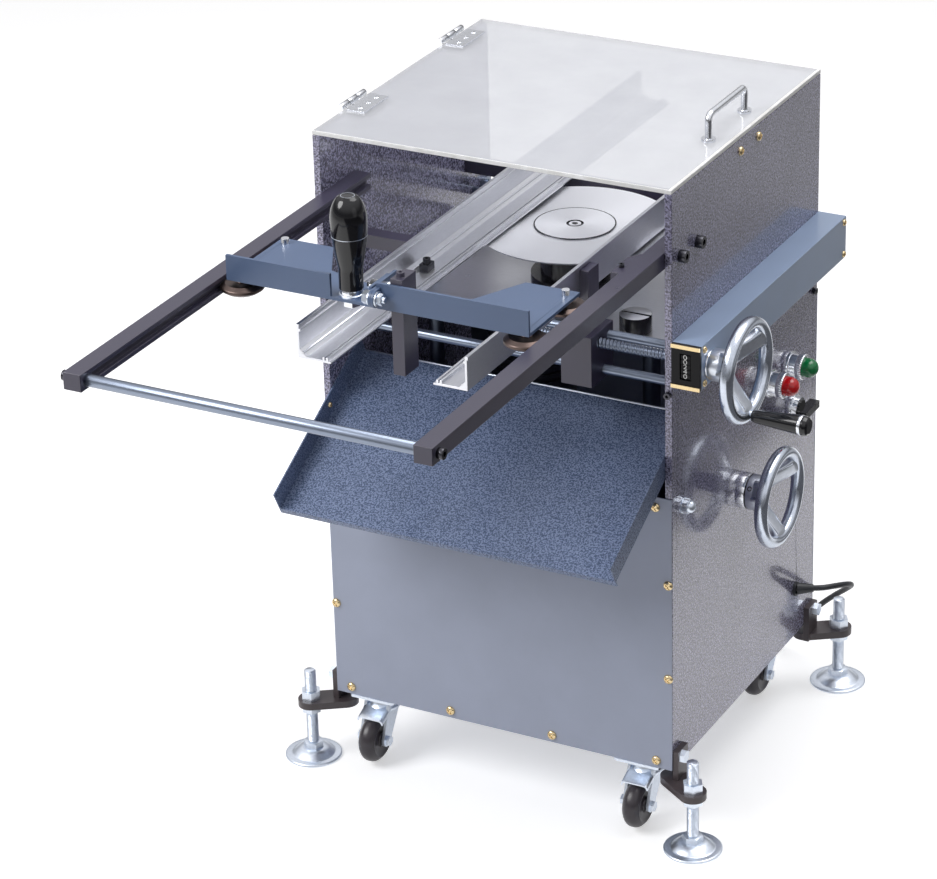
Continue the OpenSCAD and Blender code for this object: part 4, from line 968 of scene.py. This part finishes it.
def make_joint():
    """Bolt, washers and tabs that join the carriage's two plates in front of their lips."""
    low, high = span_of("carriage_plates")
    x, y, z = 5.0, low.y - 9.0, high.z - 16.0
    place = (x, y, z)
    bolt = Shape()
    bolt.grid(hexagon(place, RIGHT, 15.0, -13.5, -5.5))
    bolt.grid(spin(place, RIGHT, [(9.5, -5.5), (9.5, -4.0), (9.0, -3.6)], 48))
    bolt.grid(spin(place, RIGHT, [(9.0, 3.6), (9.5, 4.0), (9.5, 5.6), (9.0, 6.0)], 48))
    bolt.grid(hexagon(place, RIGHT, 13.0, 6.0, 12.0))
    bolt.grid(spin(place, RIGHT, [(3.6, 11.0), (4.0, 11.4), (4.0, 14.6), (3.4, 15.2)], 32))
    bolt.piece("joint_bolt", "zinc", "carriage")
    tabs = Shape()
    reach, half = 10.5, 11.0
    edge = [(low.y + 0.5, z - half), (low.y + 0.5, z + half)]
    for degrees in range(0, 181, 12):
        a = math.radians(degrees)
        edge.append((y - reach * math.sin(a), z + half * math.cos(a)))
    for start, end in ((-3.6, -0.2), (0.2, 3.6)):
        tabs.grid([[Vector((x + shift, py, pz)) for py, pz in edge] for shift in (start, end)])
    tabs.piece("joint_tabs", "carriage_paint", "carriage")


def make_collar():
    """Flanged collar under the hand lever."""
    x, y, _ = middle_of("carriage_handle")
    foot = span_of("carriage_handle")[0].z
    flange = [(9.0, -9.0), (15.2, -9.0), (15.2, -6.4), (14.4, -5.6), (13.4, -5.4), (13.4, -0.6), (12.8, 0.0),
              (9.0, 0.0)]
    collar = Shape()
    collar.grid(spin((x, y, foot), UP, flange, 64))
    collar.piece("lever_collar", "zinc", "carriage")


def make_bead(node, body, side):
    """Bead along a rail's inner corner; side is 1 where the wall is on the rail's left, -1 on its right."""
    low, high = span_of(node)
    ledge, inset = 1.5, 7.4
    wall = low.x + ledge if side > 0 else high.x - ledge
    outline = [(1.2, low.y), (1.5, low.y + 0.5), (1.5, high.y - 0.5), (1.2, high.y)]
    bead = Shape()
    bead.grid(spin((wall + side * inset, 0, low.z + inset), BACKWARD, outline, 16))
    bead.piece(node + "_bead", "rail_aluminium", body)


def make_chute_edge():
    """Rolled upper edge of the chute, in bright zinc as a painted highlight along the sheet's edge."""
    top_y, top_z, end = -138.2, 571.8, 239.2
    outline = [(1.2, -end), (1.6, 0.6 - end), (1.6, end - 0.6), (1.2, end)]
    roll = Shape()
    roll.grid(spin((0, top_y, top_z), RIGHT, outline, 16))
    # The zinc finish paints the edge's highlight.
    roll.piece("chute_edge_painted_highlight", "zinc", "base")


def make_post_cap():
    """Bright top of the slotted tension post, in two halves beside the slot."""
    top = span_of("spindle_housing")[0].z + 22.0
    centre = Vector((146.0, span_of("head_plate")[0].y + 24.0, top))
    half_slot = 2.3
    cap = Shape()
    for half_turn in (0.0, math.pi):
        rings = []
        for radius, height in ((20.6, 0.0), (20.6, 0.35), (20.1, 0.7)):
            start = math.asin(half_slot / radius)
            angles = [half_turn + start + (math.pi - 2 * start) * i / 40 for i in range(41)]
            ring = [Vector((radius * math.cos(a), radius * math.sin(a), height)) for a in angles]
            rings.append([centre + point for point in ring])
        cap.grid(rings)
    cap.piece("post_cap", "head_metal", "head")

FIGURE_WHITE = polymer("figure_white", (0.80, 0.80, 0.78), 0.5)
# Opaque white that paints the highlight on the clear sheet's edge.
EDGE_PAINTED_HIGHLIGHT = polymer("edge_painted_highlight", (0.94, 0.93, 0.90), 0.25)
WALL_X = (plate_high.x - MIDDLE.x) / MM

for corner in CORNERS:
    make_foot(corner)
make_counter_digits()
for lamp in ("start_button", "stop_button"):
    make_lamp_ring(lamp)
make_grip_ring()
make_disc_details()
make_hub_screw()
make_spokes("width_handwheel", "width_wheel", UPPER_HUB, span_of("width_handwheel")[0].x)
make_spokes("height_handwheel", "height_wheel", LOWER_HUB, WALL_X + 12.3)
make_hinge_screws()
make_lever()
make_lid_edge()
make_cap_nut()
make_panel_screws()
for corner in CORNERS:
    make_wheel(corner)
    make_hood(corner)
make_joint()
make_collar()
make_bead("fixed_rail", "base", 1)
make_bead("moving_rail", "rail_carrier", -1)
make_chute_edge()
make_post_cap()
make_screw_bar("lead_screw", "width_wheel", 292.0)
make_screw_bar("rear_screw", "rear_lead", 272.0)


# Softer edges on the machined and folded CAD pieces

EDGES = {
    0.9: ("left_side_plate", "right_side_plate", "slide_arms", "slide_blocks", "inner_frame", "head_plate",
          "side_housing"),
    0.5: ("carriage_plates", "board_pusher", "waste_chute", "cover_panels", "foot_brackets",
          "zinc_hardware", "chrome_fittings", "lid_fittings", "lid_panel", "position_counter",
          "carriage_bolts", "width_handwheel", "height_handwheel", "drive_motor", "spindle_housing",
          "motor_pulley"),
    0.3: ("fixed_rail", "moving_rail", "frame_bolts", "brass_screws", "selector_knob", "steel_rods"),
}


def soften():
    """Small bevels that catch the light along the pieces' edges."""
    for width, names in EDGES.items():
        for name in names:
            weld = nodes[name].modifiers.new("weld", "WELD")
            weld.merge_threshold = 0.00001
            bevel = nodes[name].modifiers.new("edges", "BEVEL")
            bevel.width = width * MM
            bevel.segments = 2
            bevel.limit_method = "ANGLE"
            bevel.angle_limit = math.radians(40)
            bevel.harden_normals = True


soften()
# The clear sheet lets the lamps' light through.
nodes["lid_panel"].visible_shadow = False


# Floor and light

AIM = Vector((0.0, 0.1, 0.5))


def area_light(name, place, size, power):
    """A round white lamp that faces the machine."""
    data = bpy.data.lights.new(name, "AREA")
    data.shape = "DISK"
    data.size = size
    data.energy = power
    lamp = bpy.data.objects.new(name, data)
    scene.collection.objects.link(lamp)
    lamp.location = place
    lamp.rotation_euler = (Vector(place) - AIM).to_track_quat("Z", "Y").to_euler()


def make_floor():
    """White to the camera; lit and reflected, a pale sheet with a darker strip along the machine's right."""
    mesh = bpy.data.meshes.new("floor")
    half = 30.0
    corners = [(-half, -half, 0), (half, -half, 0), (half, half, 0), (-half, half, 0)]
    mesh.from_pydata(corners, [], [(0, 1, 2, 3)])
    floor = bpy.data.objects.new("floor", mesh)
    scene.collection.objects.link(floor)
    ground = Finish("floor", (0.88, 0.88, 0.88), roughness=0.8, specular_ior_level=0.0)
    split = ground.tree.nodes.new("ShaderNodeSeparateXYZ")
    ground.link(ground.place, split.inputs["Vector"])
    strip = put(ground.tree, "ShaderNodeMapRange")
    strip.inputs["From Min"].default_value = 0.55
    strip.inputs["From Max"].default_value = 0.60
    ground.link(split.outputs["X"], strip.inputs["Value"])
    dark = strip.outputs["Result"]
    far = put(ground.tree, "ShaderNodeMapRange")
    far.inputs["From Min"].default_value = 1.3
    far.inputs["From Max"].default_value = 2.2
    far.inputs["To Min"].default_value = 0.05
    far.inputs["To Max"].default_value = 0.45
    ground.link(split.outputs["Y"], far.inputs["Value"])
    ground.color(ground.ramp(dark, (0.0, (0.88, 0.88, 0.89)), (1.0, (0.10, 0.10, 0.11))))
    path = ground.tree.nodes.new("ShaderNodeLightPath")
    mirrored = ground.mixed(dark, (0.40, 0.40, 0.40), far.outputs["Result"])
    seen = ground.ramp(dark, (0.0, 0.50), (1.0, 0.92))
    straight = put(ground.tree, "ShaderNodeMath", operation="MULTIPLY")
    ground.link(path.outputs["Is Camera Ray"], straight.inputs[0])
    ground.link(seen, straight.inputs[1])
    glossy = put(ground.tree, "ShaderNodeMath", operation="MAXIMUM")
    ground.link(path.outputs["Is Glossy Ray"], glossy.inputs[0])
    ground.link(path.outputs["Is Transmission Ray"], glossy.inputs[1])
    glow = put(ground.tree, "ShaderNodeMath", operation="MULTIPLY_ADD")
    ground.link(glossy.outputs["Value"], glow.inputs[0])
    ground.link(mirrored, glow.inputs[1])
    ground.link(straight.outputs["Value"], glow.inputs[2])
    ground.shader.inputs["Emission Color"].default_value = (1.0, 1.0, 1.0, 1.0)
    ground.link(glow.outputs["Value"], ground.shader.inputs["Emission Strength"])
    mesh.materials.append(ground.material)


def make_world():
    """Even ambient light; what the camera, metal and glass see is a brighter room with a grey horizon."""
    world = bpy.data.worlds.new("world")
    scene.world = world
    world.use_nodes = True
    tree = world.node_tree
    tree.nodes.clear()
    out = tree.nodes.new("ShaderNodeOutputWorld")
    ambient = put(tree, "ShaderNodeBackground")
    ambient.inputs["Color"].default_value = (1.0, 1.0, 1.0, 1.0)
    ambient.inputs["Strength"].default_value = 0.21
    room = put(tree, "ShaderNodeBackground")
    room.inputs["Strength"].default_value = 1.0
    direction = tree.nodes.new("ShaderNodeTexCoord")
    split = tree.nodes.new("ShaderNodeSeparateXYZ")
    tree.links.new(direction.outputs["Generated"], split.inputs["Vector"])
    ramp = tree.nodes.new("ShaderNodeValToRGB")
    stops = [(0.0, 0.30), (0.14, 0.16), (0.40, 0.72), (0.70, 1.0)]
    elements = ramp.color_ramp.elements
    while len(elements) < len(stops):
        elements.new(0.5)
    for element, (position, value) in zip(elements, stops):
        element.position = position
        element.color = (value, value, value * 1.03, 1.0)
    tree.links.new(split.outputs["Z"], ramp.inputs["Fac"])
    tree.links.new(ramp.outputs["Color"], room.inputs["Color"])
    path = tree.nodes.new("ShaderNodeLightPath")
    seen = None
    for ray in ("Is Camera Ray", "Is Glossy Ray", "Is Transmission Ray"):
        if seen is None:
            seen = path.outputs[ray]
        else:
            both = put(tree, "ShaderNodeMath", operation="MAXIMUM")
            tree.links.new(seen, both.inputs[0])
            tree.links.new(path.outputs[ray], both.inputs[1])
            seen = both.outputs["Value"]
    mix = tree.nodes.new("ShaderNodeMixShader")
    tree.links.new(seen, mix.inputs[0])
    tree.links.new(ambient.outputs["Background"], mix.inputs[1])
    tree.links.new(room.outputs["Background"], mix.inputs[2])
    tree.links.new(mix.outputs["Shader"], out.inputs["Surface"])


scene.view_settings.view_transform = "Standard"
make_floor()
make_world()
area_light("key", (-2.4, -2.6, 3.4), 2.6, 126.0)
area_light("top", (0.6, 0.9, 3.7), 3.0, 79.0)
area_light("side", (3.4, -1.4, 1.8), 2.0, 3.0)
